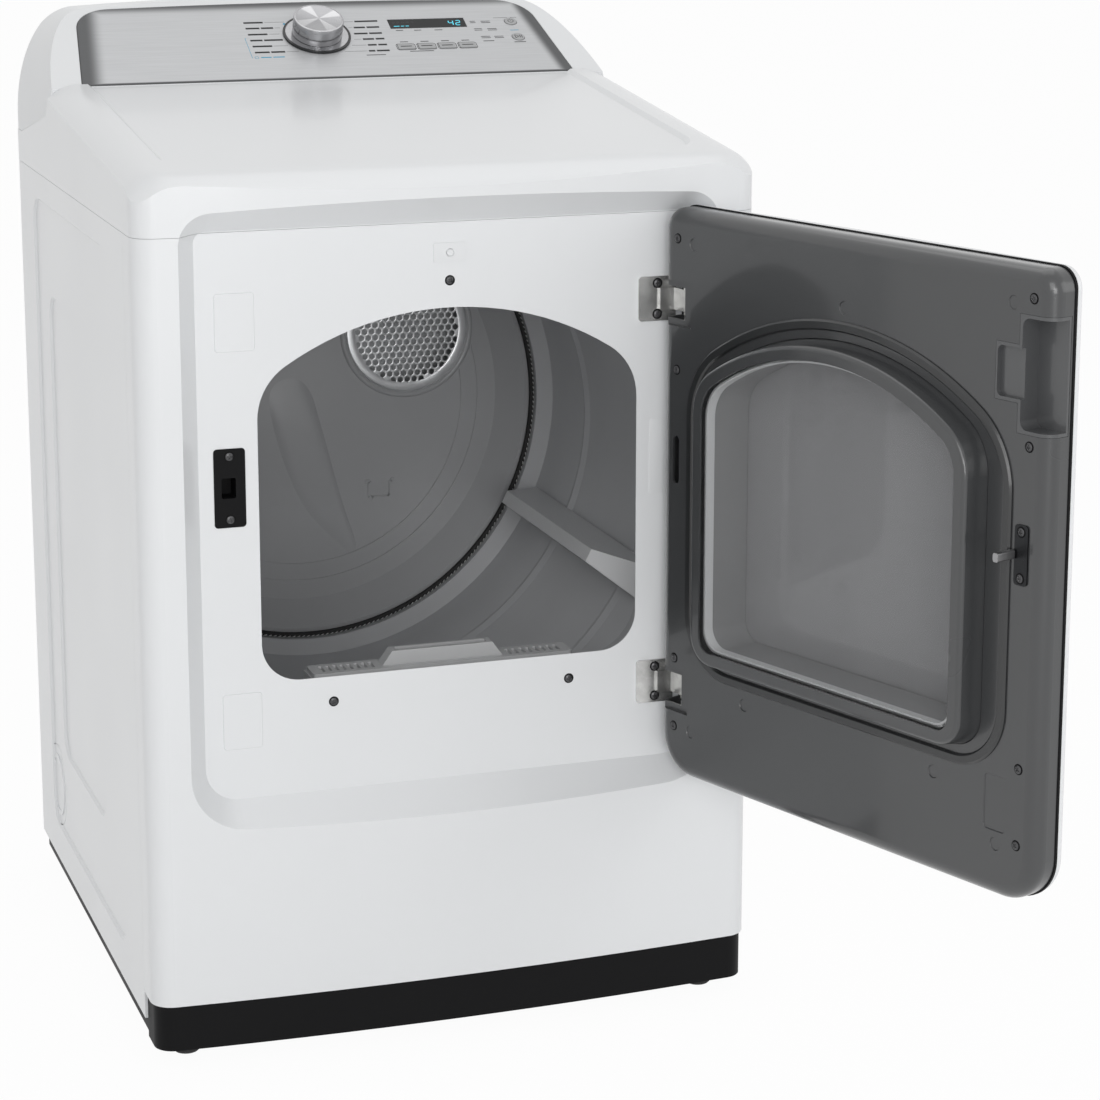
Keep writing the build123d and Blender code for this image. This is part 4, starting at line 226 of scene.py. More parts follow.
def darken_towards(material, tint, masks):
    """Shade a finish towards a tint where any mask rises. A mask is (axis, origin, start, end) along the surface."""
    nodes = material.node_tree.nodes
    links = material.node_tree.links
    main = nodes["Principled BSDF"]
    colour = main.inputs["Base Color"].links[0].from_socket
    place = nodes.new("ShaderNodeTexCoord").outputs["Object"]
    total = None
    for axis, origin, start, end in masks:
        dot = nodes.new("ShaderNodeVectorMath")
        dot.operation = "DOT_PRODUCT"
        dot.inputs[1].default_value = axis
        links.new(place, dot.inputs[0])
        ramp = nodes.new("ShaderNodeMapRange")
        ramp.interpolation_type = "SMOOTHERSTEP"
        shift = Vector(axis).dot(origin)
        ramp.inputs["From Min"].default_value = shift + start * MM
        ramp.inputs["From Max"].default_value = shift + end * MM
        links.new(dot.outputs["Value"], ramp.inputs["Value"])
        if total is None:
            total = ramp.outputs["Result"]
            continue
        larger = nodes.new("ShaderNodeMath")
        larger.operation = "MAXIMUM"
        links.new(total, larger.inputs[0])
        links.new(ramp.outputs["Result"], larger.inputs[1])
        total = larger.outputs[0]
    mix = nodes.new("ShaderNodeMix")
    mix.data_type = "RGBA"
    mix.inputs["B"].default_value = (*tint, 1)
    links.new(total, mix.inputs["Factor"])
    links.new(colour, mix.inputs["A"])
    links.new(mix.outputs["Result"], main.inputs["Base Color"])


# painted shade: the fascia's colour darkens where it rolls away at its ends and along its brow, and in a thin band at
# its foot; the roll itself is not modelled
lean = Vector((1, 0.13, 0)).normalized()
painted_shade_masks = []
for side in (-1, 1):
    axis = RIGHT * side * lean.x + fascia_slope * lean.y
    painted_shade_masks.append((axis, dial_centre, 254 if side < 0 else 264, 280))
painted_shade_masks.append((fascia_slope, dial_centre, 52, 74))
painted_shade_masks.append((-fascia_slope, dial_centre, 88, 91.5))
# painted shade laid into the brushed fascia's colour
darken_towards(SILVER, (0.07, 0.072, 0.075), painted_shade_masks)

FINISHES = {
    WHITE: ("front_panel", "side_panel_left", "side_panel_right", "top_cover", "door_outer_panel"),
    WHITE_MOULDING: ("console_housing", "door_switch", "switch_plunger"),
    BLACK: ("plinth", "latch_catch", "base_pan"),
    SILVER: ("console_fascia",),
    KEY_SILVER: ("key_dryness", "key_heat", "key_time", "key_crease", "key_power", "key_start"),
    SATIN: ("dial_knob", "dial_ring"),
    DISPLAY: ("display_window",),
    BOARD: ("control_board",),
    DOOR_GREY: ("door_inner_panel", "window_frame"),
    POCKET: ("handle_pocket",),
    GASKET: ("door_seal",),
    INNER_GLASS: ("door_glass_inner",),
    OUTER_GLASS: ("door_glass_outer",),
    PLATED: ("hinge_arms", "hinge_brackets"),
    STRIKER: ("striker",),
    SCREW_STEEL: ("door_screws", "cabinet_screws"),
    ALUMINIUM: ("air_grille",),
    GALVANISED: ("rear_panel", "service_cover", "heater_duct", "exhaust_duct"),
    DRUM_GREY: ("front_bulkhead", "rear_bulkhead"),
    DRUM_LINER: ("drum_shell",),
    BAFFLE: ("drum_baffles",),
    GREY_MOULDING: ("lint_filter", "lint_duct", "blower_housing", "blower_wheel", "water_valve"),
    FELT: ("drum_seals",),
    RUBBER: (
        "drum_rollers_left", "drum_rollers_right", "idler_pulley", "drive_belt",
        "foot_front_left", "foot_rear_left", "foot_front_right", "foot_rear_right",
    ),
    MOTOR: ("motor",),
    TURNED: ("motor_shaft", "idler_arm", "heating_element"),
}


def dress(node, material):
    """Give a carried-over CAD node its material."""
    body = frame["nodes"][node]
    body.data.materials.clear()
    body.data.materials.append(material)


for material, names in FINISHES.items():
    for name in names:
        dress(name, material)


# ------------------------------------------------------------------ mesh helpers
def made(name, bm, material, body, matrix=None, crease=35):
    """An object from a bmesh, with its finish, that rides on a body."""
    bmesh.ops.recalc_face_normals(bm, faces=bm.faces)
    mesh = bpy.data.meshes.new(name)
    bm.to_mesh(mesh)
    bm.free()
    mesh.shade_smooth()
    mesh.set_sharp_from_angle(angle=radians(crease))
    mesh.materials.append(material)
    piece = bpy.data.objects.new(name, mesh)
    SCENE.collection.objects.link(piece)
    if matrix is not None:
        piece.matrix_world = matrix
    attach(piece, body)
    return piece


def turn(bm, profile, count=64, matrix=Matrix()):
    """A surface turned about z from a profile of (radius, height) in mm."""
    rings = []
    for radius, height in profile:
        spokes = 1 if radius == 0 else count
        ring = []
        for i in range(spokes):
            angle = 2 * pi * i / count
            place = Vector((radius * cos(angle), radius * sin(angle), height)) * MM
            ring.append(bm.verts.new(matrix @ place))
        rings.append(ring)
    for near, far in zip(rings, rings[1:]):
        for i in range(count):
            j = (i + 1) % count
            if len(near) == 1:
                bm.faces.new((near[0], far[i], far[j]))
            elif len(far) == 1:
                bm.faces.new((near[i], near[j], far[0]))
            else:
                bm.faces.new((near[i], near[j], far[j], far[i]))


def bar(bm, start, end, width, low, high, matrix=Matrix()):
    """A straight bar from start to end, both (x, y) in mm, between two heights."""
    run = Vector(end) - Vector(start)
    aside = Vector((-run.y, run.x)).normalized() * width / 2
    corners = [Vector(start) + aside, Vector(start) - aside, Vector(end) - aside, Vector(end) + aside]
    sheets = []
    for height in (low, high):
        sheets.append([bm.verts.new(matrix @ (Vector((c.x, c.y, height)) * MM)) for c in corners])
    bottom, top = sheets
    bm.faces.new(bottom)
    bm.faces.new(top)
    for i in range(4):
        j = (i + 1) % 4
        bm.faces.new((bottom[i], bottom[j], top[j], top[i]))


def skin(bm, loops):
    """Faces between each closed loop of points and the next."""
    for near, far in zip(loops, loops[1:]):
        for i in range(len(near)):
            j = (i + 1) % len(near)
            bm.faces.new((near[i], near[j], far[j], far[i]))


def trace(bm, points, width, low, high, matrix=Matrix()):
    """Bars from point to point."""
    for start, end in zip(points, points[1:]):
        bar(bm, start, end, width, low, high, matrix)


def arc(centre, radius, start, end, count):
    """Points along an arc, its angles in degrees."""
    points = []
    for i in range(count + 1):
        angle = radians(start + (end - start) * i / count)
        points.append((centre[0] + radius * cos(angle), centre[1] + radius * sin(angle)))
    return points


def frame_line(width, height, corner, centre=(0, 0)):
    """Points round a rectangle with cut corners."""
    x, y = width / 2, height / 2
    corners = (
        (x, y - corner), (x - corner, y), (corner - x, y), (-x, y - corner),
        (-x, corner - y), (corner - x, -y), (x - corner, -y), (x, corner - y), (x, y - corner),
    )
    return [(centre[0] + px, centre[1] + py) for px, py in corners]


def islands(node):
    """The separate solids of a CAD node, each as a list of its points."""
    bm = bmesh.new()
    bm.from_mesh(frame["nodes"][node].data)
    bmesh.ops.remove_doubles(bm, verts=bm.verts, dist=0.00001)
    seen = set()
    solids = []
    for first in bm.verts:
        if first in seen:
            continue
        seen.add(first)
        stack = [first]
        found = []
        while stack:
            vertex = stack.pop()
            found.append(vertex.co.copy())
            for edge in vertex.link_edges:
                other = edge.other_vert(vertex)
                if other not in seen:
                    seen.add(other)
                    stack.append(other)
        solids.append(found)
    bm.free()
    return sorted(solids, key=lambda points: (round(min(p.z for p in points), 3), round(min(p.x for p in points), 3)))


# ------------------------------------------------------------------ cross-head screws
def ease(value):
    """0 below 0, 1 above 1, smooth in between."""
    value = max(0.0, min(1.0, value))
    return value * value * (3 - 2 * value)


def cross_head(bm, matrix):
    """A pan-head screw with a cross recess, its seat at height 0."""
    radius, rise, rings, spokes = 4.2, 1.9, 14, 48
    rows = []
    for ring in range(rings + 1):
        reach = radius * ring / rings
        row = []
        for i in range(1 if ring == 0 else spokes):
            angle = 2 * pi * i / spokes
            x, y = reach * cos(angle), reach * sin(angle)
            height = rise * (1 - 0.55 * (reach / radius) ** 3)
            inside = ease((0.85 - min(abs(x), abs(y))) / 0.4) * ease((2.7 - max(abs(x), abs(y))) / 0.7)
            row.append(bm.verts.new(matrix @ (Vector((x, y, height - 1.3 * inside)) * MM)))
        rows.append(row)
    for near, far in zip(rows, rows[1:]):
        for i in range(spokes):
            j = (i + 1) % spokes
            if len(near) == 1:
                bm.faces.new((near[0], far[i], far[j]))
            else:
                bm.faces.new((near[i], near[j], far[j], far[i]))
    turn(bm, [(radius, rise * 0.45), (radius, 0), (1.9, 0), (1.9, -4), (0, -5)], spokes, matrix)


def screws(node, body, out):
    """Cross-head screws in the places of a node's plain ones, each in a black ring that is a painted shadow round its
    head.
    """
    bm = bmesh.new()
    shadow_rings = bmesh.new()
    across = UP.cross(out)
    for number, points in enumerate(islands(node)):
        top = max(point.dot(out) for point in points)
        face = [point for point in points if point.dot(out) > top - 0.05 * MM]
        centre = sum(face, Vector()) / len(face)
        place = basis(centre - out * 1.4 * MM, across, UP, out)
        cross_head(bm, place @ Matrix.Rotation(number * 0.9, 4, "Z"))
        # painted shadow: a thin black ring round the head
        turn(shadow_rings, [(4.1, 0.3), (5.3, 0.3), (5.6, 0.02), (4.1, 0.02), (4.1, 0.3)], 40, place)
    bmesh.ops.remove_doubles(bm, verts=bm.verts, dist=0.000001)
    piece = made(node + "_cross_head", bm, SCREW_STEEL, body, crease=50)
    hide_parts(node)
    made(node + "_washers", shadow_rings, BLACK, body)


screws("cabinet_screws", "cabinet", -BACK)
screws("door_screws", "door", door_inward)


# ------------------------------------------------------------------ dial
def brushed_round_with_painted_fan():
    """Metal turned on a lathe, its fine scratches running in circles, and a painted highlight: four bright sectors
    round the axis in its base colour, which turn with the dial.
    """
    material, nodes, links, main, place = shader("dial_face_painted_fan_metal")
    split = nodes.new("ShaderNodeVectorMath")
    split.operation = "MULTIPLY"
    split.inputs[1].default_value = (1, 1, 0)
    links.new(place, split.inputs[0])
    length = nodes.new("ShaderNodeVectorMath")
    length.operation = "LENGTH"
    links.new(split.outputs["Vector"], length.inputs[0])
    grooves = nodes.new("ShaderNodeTexNoise")
    grooves.noise_dimensions = "1D"
    grooves.inputs["Scale"].default_value = 2600
    grooves.inputs["Detail"].default_value = 2
    links.new(length.outputs["Value"], grooves.inputs["W"])
    links.new(spread(nodes, links, grooves.outputs["Fac"], 0.2, 0.34), main.inputs["Roughness"])
    bump = nodes.new("ShaderNodeBump")
    bump.inputs["Strength"].default_value = 0.12
    bump.inputs["Distance"].default_value = 0.0001
    links.new(grooves.outputs["Fac"], bump.inputs["Height"])
    links.new(bump.outputs["Normal"], main.inputs["Normal"])
    # painted highlight: four bright sectors laid into the base colour by angle round the axis
    turned = nodes.new("ShaderNodeTexGradient")
    turned.gradient_type = "RADIAL"
    links.new(place, turned.inputs["Vector"])
    painted_fan_lobes = nodes.new("ShaderNodeMath")
    painted_fan_lobes.operation = "MULTIPLY"
    painted_fan_lobes.inputs[1].default_value = 2 * pi * 4
    links.new(turned.outputs["Fac"], painted_fan_lobes.inputs[0])
    painted_fan = nodes.new("ShaderNodeMath")
    painted_fan.operation = "SINE"
    links.new(painted_fan_lobes.outputs[0], painted_fan.inputs[0])
    slow = spread(nodes, links, painted_fan.outputs[0], 0.2, 0.75)
    painted_fan_tone = nodes.new("ShaderNodeMix")
    painted_fan_tone.data_type = "RGBA"
    painted_fan_tone.inputs["A"].default_value = (0.3, 0.3, 0.31, 1)
    painted_fan_tone.inputs["B"].default_value = (0.62, 0.62, 0.63, 1)
    links.new(slow, painted_fan_tone.inputs["Factor"])
    links.new(painted_fan_tone.outputs["Result"], main.inputs["Base Color"])
    main.inputs["Metallic"].default_value = 1.0
    main.inputs["Anisotropic"].default_value = 0.85
    tangent = nodes.new("ShaderNodeTangent")
    tangent.direction_type = "RADIAL"
    tangent.axis = "Z"
    links.new(tangent.outputs["Tangent"], main.inputs["Tangent"])
    return material


DIAL_FACE = brushed_round_with_painted_fan()
bm = bmesh.new()
turn(bm, [(0, 24.1), (27.4, 24.1), (27.8, 24.3)], 128)
made("dial_face", bm, DIAL_FACE, "dial", FASCIA)
bm = bmesh.new()
turn(
    bm,
    [
        (27.8, 24.3), (28.3, 24.65), (29.3, 24.65), (30.1, 24.2), (30.5, 23.3), (30.5, 4.4), (30.1, 3.6),
        (30.1, 2.9), (4, 2.9), (3, -9),
    ],
    128,
)
dial_body = made("dial_body", bm, SATIN, "dial", FASCIA)
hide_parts("dial_knob")
bm = bmesh.new()
turn(bm, [(38.2, 2.3), (38.5, 2.75), (41.2, 2.6), (41.5, 1.6), (41.5, 0.1)], 128, FASCIA)
made("dial_ring_trim", bm, DARK_RING, "cabinet")

# ------------------------------------------------------------------ printing on the fascia
def mark(bm, start, end, width, low=-0.02, high=0.06):
    """A printed bar on the fascia."""
    bar(bm, start, end, width, low, high, FASCIA)


def printed(bm, points, width, low=-0.02, high=0.06):
    """A printed line on the fascia."""
    trace(bm, points, width, low, high, FASCIA)


left_rows = ((31, (-84, -60)), (18.5, (-84, -67, -65, -50)), (5, (-84, -60)), (-8, (-84, -69, -67, -44)))
left_rows += ((-21, (-84, -60)), (-34, (-84, -66, -64, -47)))
right_rows = ((28, (54, 83)), (14.5, (50, 64, 66, 82)), (1, (47, 64, 66, 82)), (-11.5, (55, 69, 71, 82)))
right_rows += ((-24.5, (58, 69, 71, 82)), (-37.5, (56, 64, 66, 82)))
bm = bmesh.new()
for side, rows in ((-1, left_rows), (1, right_rows)):
    for height, ends in rows:
        for start, end in zip(ends[::2], ends[1::2]):
            mark(bm, (start, height), (end, height), 3.4)
made("cycle_marks", bm, INK, "cabinet")

pointer_reach = 45.5
bm = bmesh.new()
for side, rows in ((-1, left_rows), (1, right_rows)):
    for height, ends in rows:
        near = max(ends) + 2 if side < 0 else min(ends) - 2
        rim = side * max(0.0, pointer_reach**2 - height**2) ** 0.5
        if side * (near - rim) > 1:
            mark(bm, (near, height), (rim, height), 0.5)
key_places = (104.5, 130.5, 156.5, 182.5)
for x in key_places:
    printed(bm, frame_line(23.4, 13.4, 2, (x, -31)), 0.8)
    mark(bm, (x - 5, -20), (x + 5, -20), 1.6)
small_words = ((199, 208, 20), (213, 227, 19.5), (200, 212, 3), (217, 231, 2.5), (204, 218, -14.5), (221, 235, -15))
for start, end, height in small_words:
    for rise in (1.6, -1.6):
        mark(bm, (start + abs(rise) - 1, height + rise), (end - 1.5, height + rise), 1.3)
captions = ((51, 75, -46.5), (107, 137, -41), (205, 219, -23), (101, 110, 5.5), (124, 133, 5), (150, 160, 4.5))
for start, end, height in captions:
    mark(bm, (start, height), (end, height), 1.5)
mark(bm, (232, 28), (250, 28), 0.6)
mark(bm, (254, 28), (262, 28), 0.6)
mark(bm, (244, -27), (259, -27), 1.4)
made("small_marks", bm, PALE_INK, "cabinet")

bm = bmesh.new()
printed(bm, [(-88, -3), (-89.5, -3), (-89.5, -46)], 0.6)
printed(bm, frame_line(4.4, 4.4, 1, (-84, -45)), 0.6)
mark(bm, (-79, -45), (-66, -45), 2.0)
mark(bm, (-64, -45), (-50, -45), 2.0)
mark(bm, (-35.5, 27.5), (-30, 23.5), 3.2, high=0.12)
mark(bm, (246, -0.5), (257, -0.5), 1.2)
made("blue_marks", bm, BLUE_INK, "cabinet")

# symbols on the keys, which move with them
key_top = 1.0
ON_KEY = (key_top - 0.05, key_top + 0.06)
for body, x in zip(("key_dryness", "key_heat", "key_time", "key_crease"), key_places):
    bm = bmesh.new()
    mark(bm, (x - 7, -31), (x + 7, -31), 1.8, *ON_KEY)
    made(body + "_mark", bm, PALE_INK, body)
bm = bmesh.new()
printed(bm, arc((252, 19), 3.4, 120, 420, 20), 0.7, *ON_KEY)
mark(bm, (252, 19.5), (252, 23.6), 0.7, *ON_KEY)
made("power_symbol", bm, INK, "key_power")
bm = bmesh.new()
printed(bm, [(248, -12.5), (248, -19.5), (252.5, -16), (248, -12.5)], 0.7, *ON_KEY)
for x in (254.2, 256.4):
    mark(bm, (x, -12.8), (x, -19.2), 0.8, *ON_KEY)
made("start_symbol", bm, INK, "key_start")

# lit segments behind the display's window
IN_DISPLAY, ICON_LAYER = (-0.42, -0.3), (-0.42, -0.32)
SEGMENTS = {"4": "fgbc", "2": "abged"}
bm = bmesh.new()
for digit, x in (("4", 175.0), ("2", 184.0)):
    half, tall, lean_by = 2.7, 5.0, 0.5
    corner = {
        "top_left": (x - half + lean_by, 20 + tall), "top_right": (x + half + lean_by, 20 + tall),
        "left": (x - half, 20), "right": (x + half, 20),
        "bottom_left": (x - half - lean_by, 20 - tall), "bottom_right": (x + half - lean_by, 20 - tall),
    }
    runs = {
        "a": ("top_left", "top_right"), "b": ("top_right", "right"), "c": ("right", "bottom_right"),
        "d": ("bottom_left", "bottom_right"), "e": ("left", "bottom_left"), "f": ("top_left", "left"),
        "g": ("left", "right"),
    }
    for segment in SEGMENTS[digit]:
        start, end = (Vector(corner[name]) for name in runs[segment])
        inset = (end - start).normalized() * 0.45
        mark(bm, start + inset, end - inset, 1.15, *IN_DISPLAY)
for start, end in ((101, 108), (110, 114), (116, 120)):
    mark(bm, (start, 15.5), (end, 15.5), 1.1, *IN_DISPLAY)
made("display_digits", bm, LIT, "cabinet")
bm = bmesh.new()
for x in (102, 108, 114, 120, 126):
    printed(bm, frame_line(2.6, 2.6, 0.6, (x, 23.5)), 0.5, *ICON_LAYER)
made("display_icons", bm, PALE_INK, "cabinet")

# ------------------------------------------------------------------ perforated air grille
grille_low, grille_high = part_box("air_grille")
grille_radius = (grille_high.x - grille_low.x) / 2 / MM
grille_centre = Vector(((grille_low.x + grille_high.x) / 2, grille_low.y, (grille_low.z + grille_high.z) / 2))
GRILLE = basis(grille_centre, RIGHT, UP, -BACK)
pitch, hole, thick, rim_start = 9.3, 3.95, 1.3, grille_radius - 10
corner = pitch / 3**0.5  # of each hexagonal cell
bm = bmesh.new()
rows = int(grille_radius / (pitch * sin(radians(60)))) + 1
for row in range(-rows, rows + 1):
    for column in range(-rows, rows + 1):
        x = (column + (row % 2) / 2) * pitch
        y = row * pitch * sin(radians(60))
        if hypot(x, y) > rim_start + pitch * 0.5:
            continue
        cell = [(x + corner * cos(a), y + corner * sin(a)) for a in [pi / 6 + pi / 3 * i for i in range(6)]]
        outer = [bm.verts.new(GRILLE @ (Vector((px, py, 0)) * MM)) for px, py in cell]
        if hypot(x, y) > rim_start - 1:
            bm.faces.new(outer)
            continue
        share = hole / corner
        walls = []
        for height in (-0.25, -thick):
            spots = [(x + (px - x) * share, y + (py - y) * share, height) for px, py in cell]
            walls.append([bm.verts.new(GRILLE @ (Vector(spot) * MM)) for spot in spots])
        for i in range(6):
            j = (i + 1) % 6
            bm.faces.new((outer[i], outer[j], walls[0][j], walls[0][i]))
            bm.faces.new((walls[0][i], walls[0][j], walls[1][j], walls[1][i]))
bmesh.ops.remove_doubles(bm, verts=bm.verts, dist=0.00001)
inner_rim = rim_start - 1.5
turn(
    bm,
    [
        (inner_rim, -0.6), (inner_rim + 0.5, 0.3), (inner_rim + 2.5, 0.7), (grille_radius - 3, 0.7),
        (grille_radius - 1, 0.3), (grille_radius, -0.6), (grille_radius, -1.3),
    ],
    128,
    GRILLE,
)
grille_plate = made("grille_plate", bm, ALUMINIUM, "cabinet", crease=25)
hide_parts("air_grille")

# ------------------------------------------------------------------ stitched seal cord round the drum's rear
SEAL_RADIUS, SEAL_CORD = 297.0, 3.3
SEAL_PLACE = basis(Vector((drum_axis.x, at(0, 636.4, 0).y, drum_axis.z)), RIGHT, UP, -BACK)
bm = bmesh.new()
ring = [(SEAL_RADIUS + SEAL_CORD * cos(radians(a)), SEAL_CORD * sin(radians(a))) for a in range(0, 361, 30)]
turn(bm, ring, 240, SEAL_PLACE)
bmesh.ops.remove_doubles(bm, verts=bm.verts, dist=0.00001)
made("seal_cord", bm, SEAL_BLACK, "cabinet")
bm = bmesh.new()
stitch_count = 300
for i in range(stitch_count):
    place = SEAL_PLACE @ Matrix.Rotation(2 * pi * i / stitch_count, 4, "Z")
    place = place @ Matrix.Translation((SEAL_RADIUS * MM, 0, 0)) @ Matrix.Rotation(radians(35), 4, "Y")
    place = place @ Matrix.Rotation(radians(28), 4, "Z")
    turn(bm, [(0, 4.1), (0.5, 3.8), (0.6, 2.6)], 6, place @ Matrix.Diagonal((1, 4, 1, 1)))
made("seal_stitches", bm, STITCH, "cabinet")

# ------------------------------------------------------------------ rings round the door's window and edge
def depths(node):
    """How far a piece's points lie behind the door's hinge plane, in mm."""
    return [(DOOR.inverted() @ vertex.co).z / MM for vertex in frame["nodes"][node].data.vertices]


def outline_of(node, inset):
    """A convex piece's outline along the door, drawn in by an inset in mm."""
    flat = [DOOR.inverted() @ vertex.co / MM for vertex in frame["nodes"][node].data.vertices]
    spots = sorted({(round(p.x, 1), round(p.y, 1)) for p in flat})
    hull = []
    for points in (spots, spots[::-1]):
        half = []
        for p in points:
            while len(half) > 1:
                a, b = half[-2], half[-1]
                if (b[0] - a[0]) * (p[1] - a[1]) - (b[1] - a[1]) * (p[0] - a[0]) > 0:
                    break
                half.pop()
            half.append(p)
        hull += half[:-1]
    low = Vector((min(p[0] for p in hull), min(p[1] for p in hull)))
    high = Vector((max(p[0] for p in hull), max(p[1] for p in hull)))
    centre, half = (low + high) / 2, (high - low) / 2
    shares = ((half.x - inset) / half.x, (half.y - inset) / half.y)
    return [(centre.x + (x - centre.x) * shares[0], centre.y + (y - centre.y) * shares[1]) for x, y in hull]


def door_ring(name, node, section, material):
    """A ring that follows a piece's outline. Its section is (inset, depth) pairs in mm."""
    bm = bmesh.new()
    loops = []
    for inset, depth in section:
        loops.append([bm.verts.new(DOOR @ (Vector((x, y, depth)) * MM)) for x, y in outline_of(node, inset)])
    skin(bm, loops + loops[:1])
    made(name, bm, material, "door")


pane = min(depths("door_glass_inner"))
outer_pane = max(depths("door_glass_outer"))
liner = ((8.2, pane - 0.3), (10.0, pane - 0.3), (10.0, outer_pane + 0.3), (8.2, outer_pane + 0.3))
door_ring("window_liner", "door_glass_inner", liner, LINER)
trim = ((8.3, 0.3), (11.6, 0.3), (11.6, 11.0), (10.4, 11.0), (10.4, 3.0), (8.3, 3.0))
trim = [(inset, pane - below) for inset, below in trim]
door_ring("glass_edge_trim", "door_glass_inner", trim, WHITE_MOULDING)

# the dark joint between the door's two panels
edge = min(depths("door_inner_panel"))
joint = ((2.0, edge + 0.4), (-0.8, edge + 0.4), (-1.1, edge + 0.1), (-1.1, edge - 2.6), (2.0, edge - 2.6))
door_ring("door_edge_joint", "door_inner_panel", joint, BLACK)

# the striker's plate is painted like the door, and its hook is bare steel
plate_back = min(depths("striker"))
hook_start, plate_front = 4.0, 2.5
darken_towards(
    STRIKER, (0.03, 0.031, 0.033), [(-door_inward, hinge, -plate_back - hook_start, -plate_back - plate_front)]
)

# ------------------------------------------------------------------ small things on the front
plate = basis(at(238.5, 22, 631.5), RIGHT, UP, -BACK)
plate_width, plate_height, plate_corner = 23, 85, 3
outline = frame_line(plate_width, plate_height, plate_corner)[:-1]
bm = bmesh.new()
for low, high, grow in ((-0.1, 0.25, 1.0), (0.25, 0.35, 0.97)):
    lower = [bm.verts.new(plate @ (Vector((x, y, low)) * MM)) for x, y in outline]
    upper = [bm.verts.new(plate @ (Vector((x * grow, y * grow, high)) * MM)) for x, y in outline]
    skin(bm, (lower, upper))
    bm.faces.new(upper)
made("blank_plate", bm, WHITE_MOULDING, "cabinet")


def cast(node, origin, direction):
    """Where a ray first meets a CAD node."""
    return frame["nodes"][node].ray_cast(origin, direction)[1]


# the letter-U emboss pressed into the rear bulkhead
emboss_across, emboss_height = 101, 461
inside_drum, below_emboss = 500, 440
wall = cast("rear_bulkhead", at(emboss_across, inside_drum, below_emboss), BACK)
place = at(emboss_across, 0, emboss_height)
EMBOSS = basis(Vector((place.x, wall.y, place.z)), RIGHT, UP, -BACK)
bm = bmesh.new()
path = [(-19, 11), (-14, 11), (-14, -8), (-11, -11), (11, -11), (14, -8), (14, 11), (19, 11)]
trace(bm, path, 5.5, -0.3, 1.4, EMBOSS)
trace(bm, path, 3.0, 1.3, 2.3, EMBOSS)
made("bulkhead_emboss", bm, DRUM_GREY, "cabinet")

# the long soft swage pressed into the rear bulkhead, from the grille down to the left
swage = [(6, 620), (27, 541), (52, 443), (72, 385), (64, 374), (30, 406), (-8, 452), (-40, 546), (-48, 612)]
for _ in range(3):  # each lap cuts the corners again
    swage = [
        (p[0] * (1 - t) + q[0] * t, p[1] * (1 - t) + q[1] * t)
        for p, q in zip(swage, swage[1:] + swage[:1]) for t in (0.25, 0.75)
    ]
centre = (sum(p[0] for p in swage) / len(swage), sum(p[1] for p in swage) / len(swage))
bm = bmesh.new()
loops = []
for share, rise in ((1, -0.2), (0.97, 0.1), (0.9, 1.0), (0.8, 2.1), (0.66, 2.9), (0.5, 3.2)):
    loop = []
    for x, z in swage:
        spot = at(centre[0] + (x - centre[0]) * share, 0, centre[1] + (z - centre[1]) * share)
        loop.append(bm.verts.new((spot.x, wall.y - rise * MM, spot.z)))
    loops.append(loop)
skin(bm, loops)
bm.faces.new(loops[-1])
made("bulkhead_swage", bm, DRUM_GREY, "cabinet", crease=60)

# a pressed groove and its ridge round the grille
bm = bmesh.new()
ridge = ((-1, -2.2), (1.5, 0.4), (3, 1.4), (5, 1.4), (7.5, 0.1), (8.5, -2.2))
turn(bm, [(grille_radius + reach, height) for reach, height in ridge], 128, GRILLE)
made("grille_surround", bm, DRUM_GREY, "cabinet", crease=60)

# hexagon-headed sheet-metal screws along the back
rear_low, rear_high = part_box("rear_panel")
screw_margin, top_row, behind = 12, 893, 1500
rear_edge = (rear_high.x - rear_low.x) / 2 / MM - screw_margin
places = [(x, z) for x in (-rear_edge, rear_edge) for z in (60, 250, 450, 650, 850)]
places += [(x, top_row) for x in (-240, -80, 80, 240)]
bm = bmesh.new()
for x, z in places:
    place = basis(cast("rear_panel", at(x, behind, z), -BACK), -RIGHT, UP, BACK)
    turn(bm, [(0, 3.4), (3.4, 3.4), (3.9, 2.9), (3.9, 1.0)], 6, place)
    turn(bm, [(3.0, 1.2), (6.0, 0.9), (6.3, 0.4), (6.3, -0.3)], 32, place)
made("rear_screws", bm, SCREW_STEEL, "cabinet")


# ------------------------------------------------------------------ floor, light and camera
FLOOR_GLOW, AMBIENT = 0.96, 0.55  # the share of white that the camera sees, and the light that the world gives
FLOOR_HALF = 30.0  # m
LAMP_TARGET = (0, 0, 550)  # mm from the cabinet, as at() takes them
CAMERA_PLACE = (-936, -3039, 1361)
CAMERA_DOWN, CAMERA_ASIDE = 0.214, 0.3299  # radians
FOCAL_LENGTH, SHIFT = 99.96, -0.1  # mm on a 36 mm sensor, and the shift that frames the object as in the photograph


def seen_share(nodes, links):
    """1 for rays that come from the camera or a mirror-like or clear surface, 0 for those that light things."""
    path = nodes.new("ShaderNodeLightPath")
    total = path.outputs["Is Camera Ray"]
    for kind in ("Is Glossy Ray", "Is Transmission Ray"):
        larger = nodes.new("ShaderNodeMath")
        larger.operation = "MAXIMUM"
        links.new(total, larger.inputs[0])
        links.new(path.outputs[kind], larger.inputs[1])
        total = larger.outputs[0]
    return total


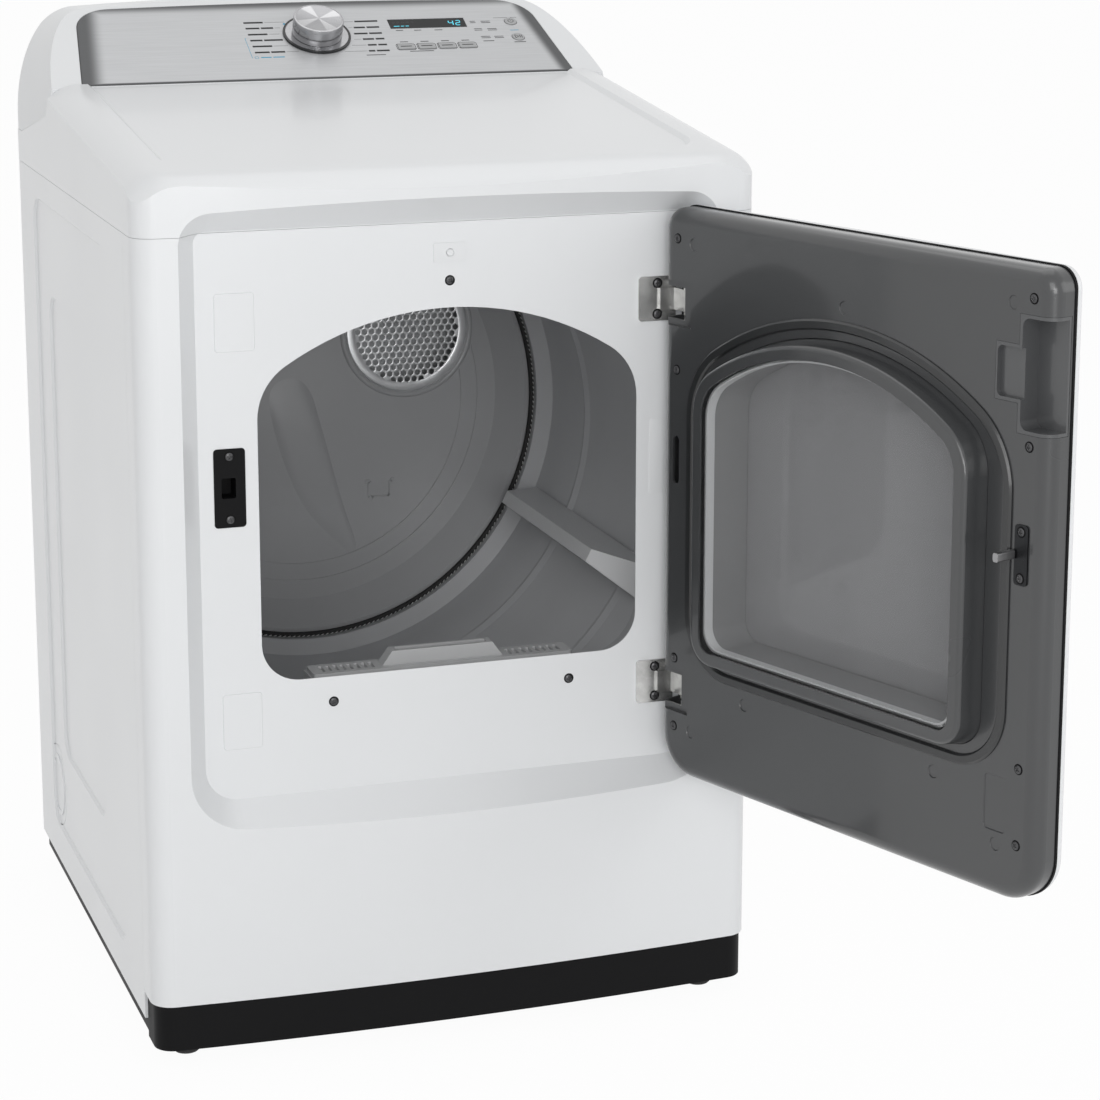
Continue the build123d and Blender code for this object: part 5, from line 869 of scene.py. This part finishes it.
def studio():
    """A pale floor, soft lamps and a camera where the photograph's stood."""
    material, nodes, links, main, place = shader("studio_floor")
    main.inputs["Base Color"].default_value = (0.86, 0.86, 0.86, 1)
    main.inputs["Roughness"].default_value = 0.9
    glow = nodes.new("ShaderNodeEmission")
    glow.inputs["Color"].default_value = (1, 1, 1, 1)
    glow.inputs["Strength"].default_value = 1.0
    share = nodes.new("ShaderNodeMath")
    share.operation = "MULTIPLY"
    share.inputs[1].default_value = FLOOR_GLOW
    links.new(seen_share(nodes, links), share.inputs[0])
    mix = nodes.new("ShaderNodeMixShader")
    links.new(share.outputs[0], mix.inputs[0])
    links.new(main.outputs[0], mix.inputs[1])
    links.new(glow.outputs[0], mix.inputs[2])
    links.new(mix.outputs[0], nodes["Material Output"].inputs["Surface"])
    half = FLOOR_HALF
    mesh = bpy.data.meshes.new("studio_floor")
    mesh.from_pydata([(-half, -half, 0), (half, -half, 0), (half, half, 0), (-half, half, 0)], [], [(0, 1, 2, 3)])
    floor = bpy.data.objects.new("studio_floor", mesh)
    SCENE.collection.objects.link(floor)
    floor.data.materials.append(material)

    world = bpy.data.worlds.new("studio")
    SCENE.world = world
    world.use_nodes = True
    tree = world.node_tree
    ambient = tree.nodes["Background"]
    ambient.inputs["Color"].default_value = (1, 1, 1, 1)
    ambient.inputs["Strength"].default_value = AMBIENT
    white = tree.nodes.new("ShaderNodeBackground")
    white.inputs["Color"].default_value = (1, 1, 1, 1)
    mix = tree.nodes.new("ShaderNodeMixShader")
    tree.links.new(seen_share(tree.nodes, tree.links), mix.inputs[0])
    tree.links.new(ambient.outputs[0], mix.inputs[1])
    tree.links.new(white.outputs[0], mix.inputs[2])
    tree.links.new(mix.outputs[0], tree.nodes["World Output"].inputs["Surface"])

    target = at(*LAMP_TARGET)
    lamps = (
        ("key", (-1.5, -3.6, 2.3), 2.2, 32),
        ("front", (-0.5, -3.9, 1.1), 1.4, 26),
        ("fill", (2.8, -2.4, 1.7), 2.0, 14),
        ("top", (0.2, 0.4, 3.2), 2.2, 10),
    )
    for name, place, width, power in lamps:
        lamp = bpy.data.lights.new(name, "AREA")
        lamp.size = width
        lamp.energy = power
        holder = bpy.data.objects.new(name, lamp)
        SCENE.collection.objects.link(holder)
        holder.location = place
        holder.rotation_euler = (target - Vector(place)).to_track_quat("-Z", "Y").to_euler()

    lens = bpy.data.cameras.new("camera")
    lens.lens = FOCAL_LENGTH
    lens.shift_y = SHIFT
    lens.sensor_width = 36
    lens.clip_end = 100
    camera = bpy.data.objects.new("camera", lens)
    SCENE.collection.objects.link(camera)
    camera.location = at(*CAMERA_PLACE)
    camera.rotation_euler = (pi / 2 - CAMERA_DOWN, 0, -CAMERA_ASIDE)
    SCENE.camera = camera
    SCENE.view_settings.view_transform = "Standard"


studio()
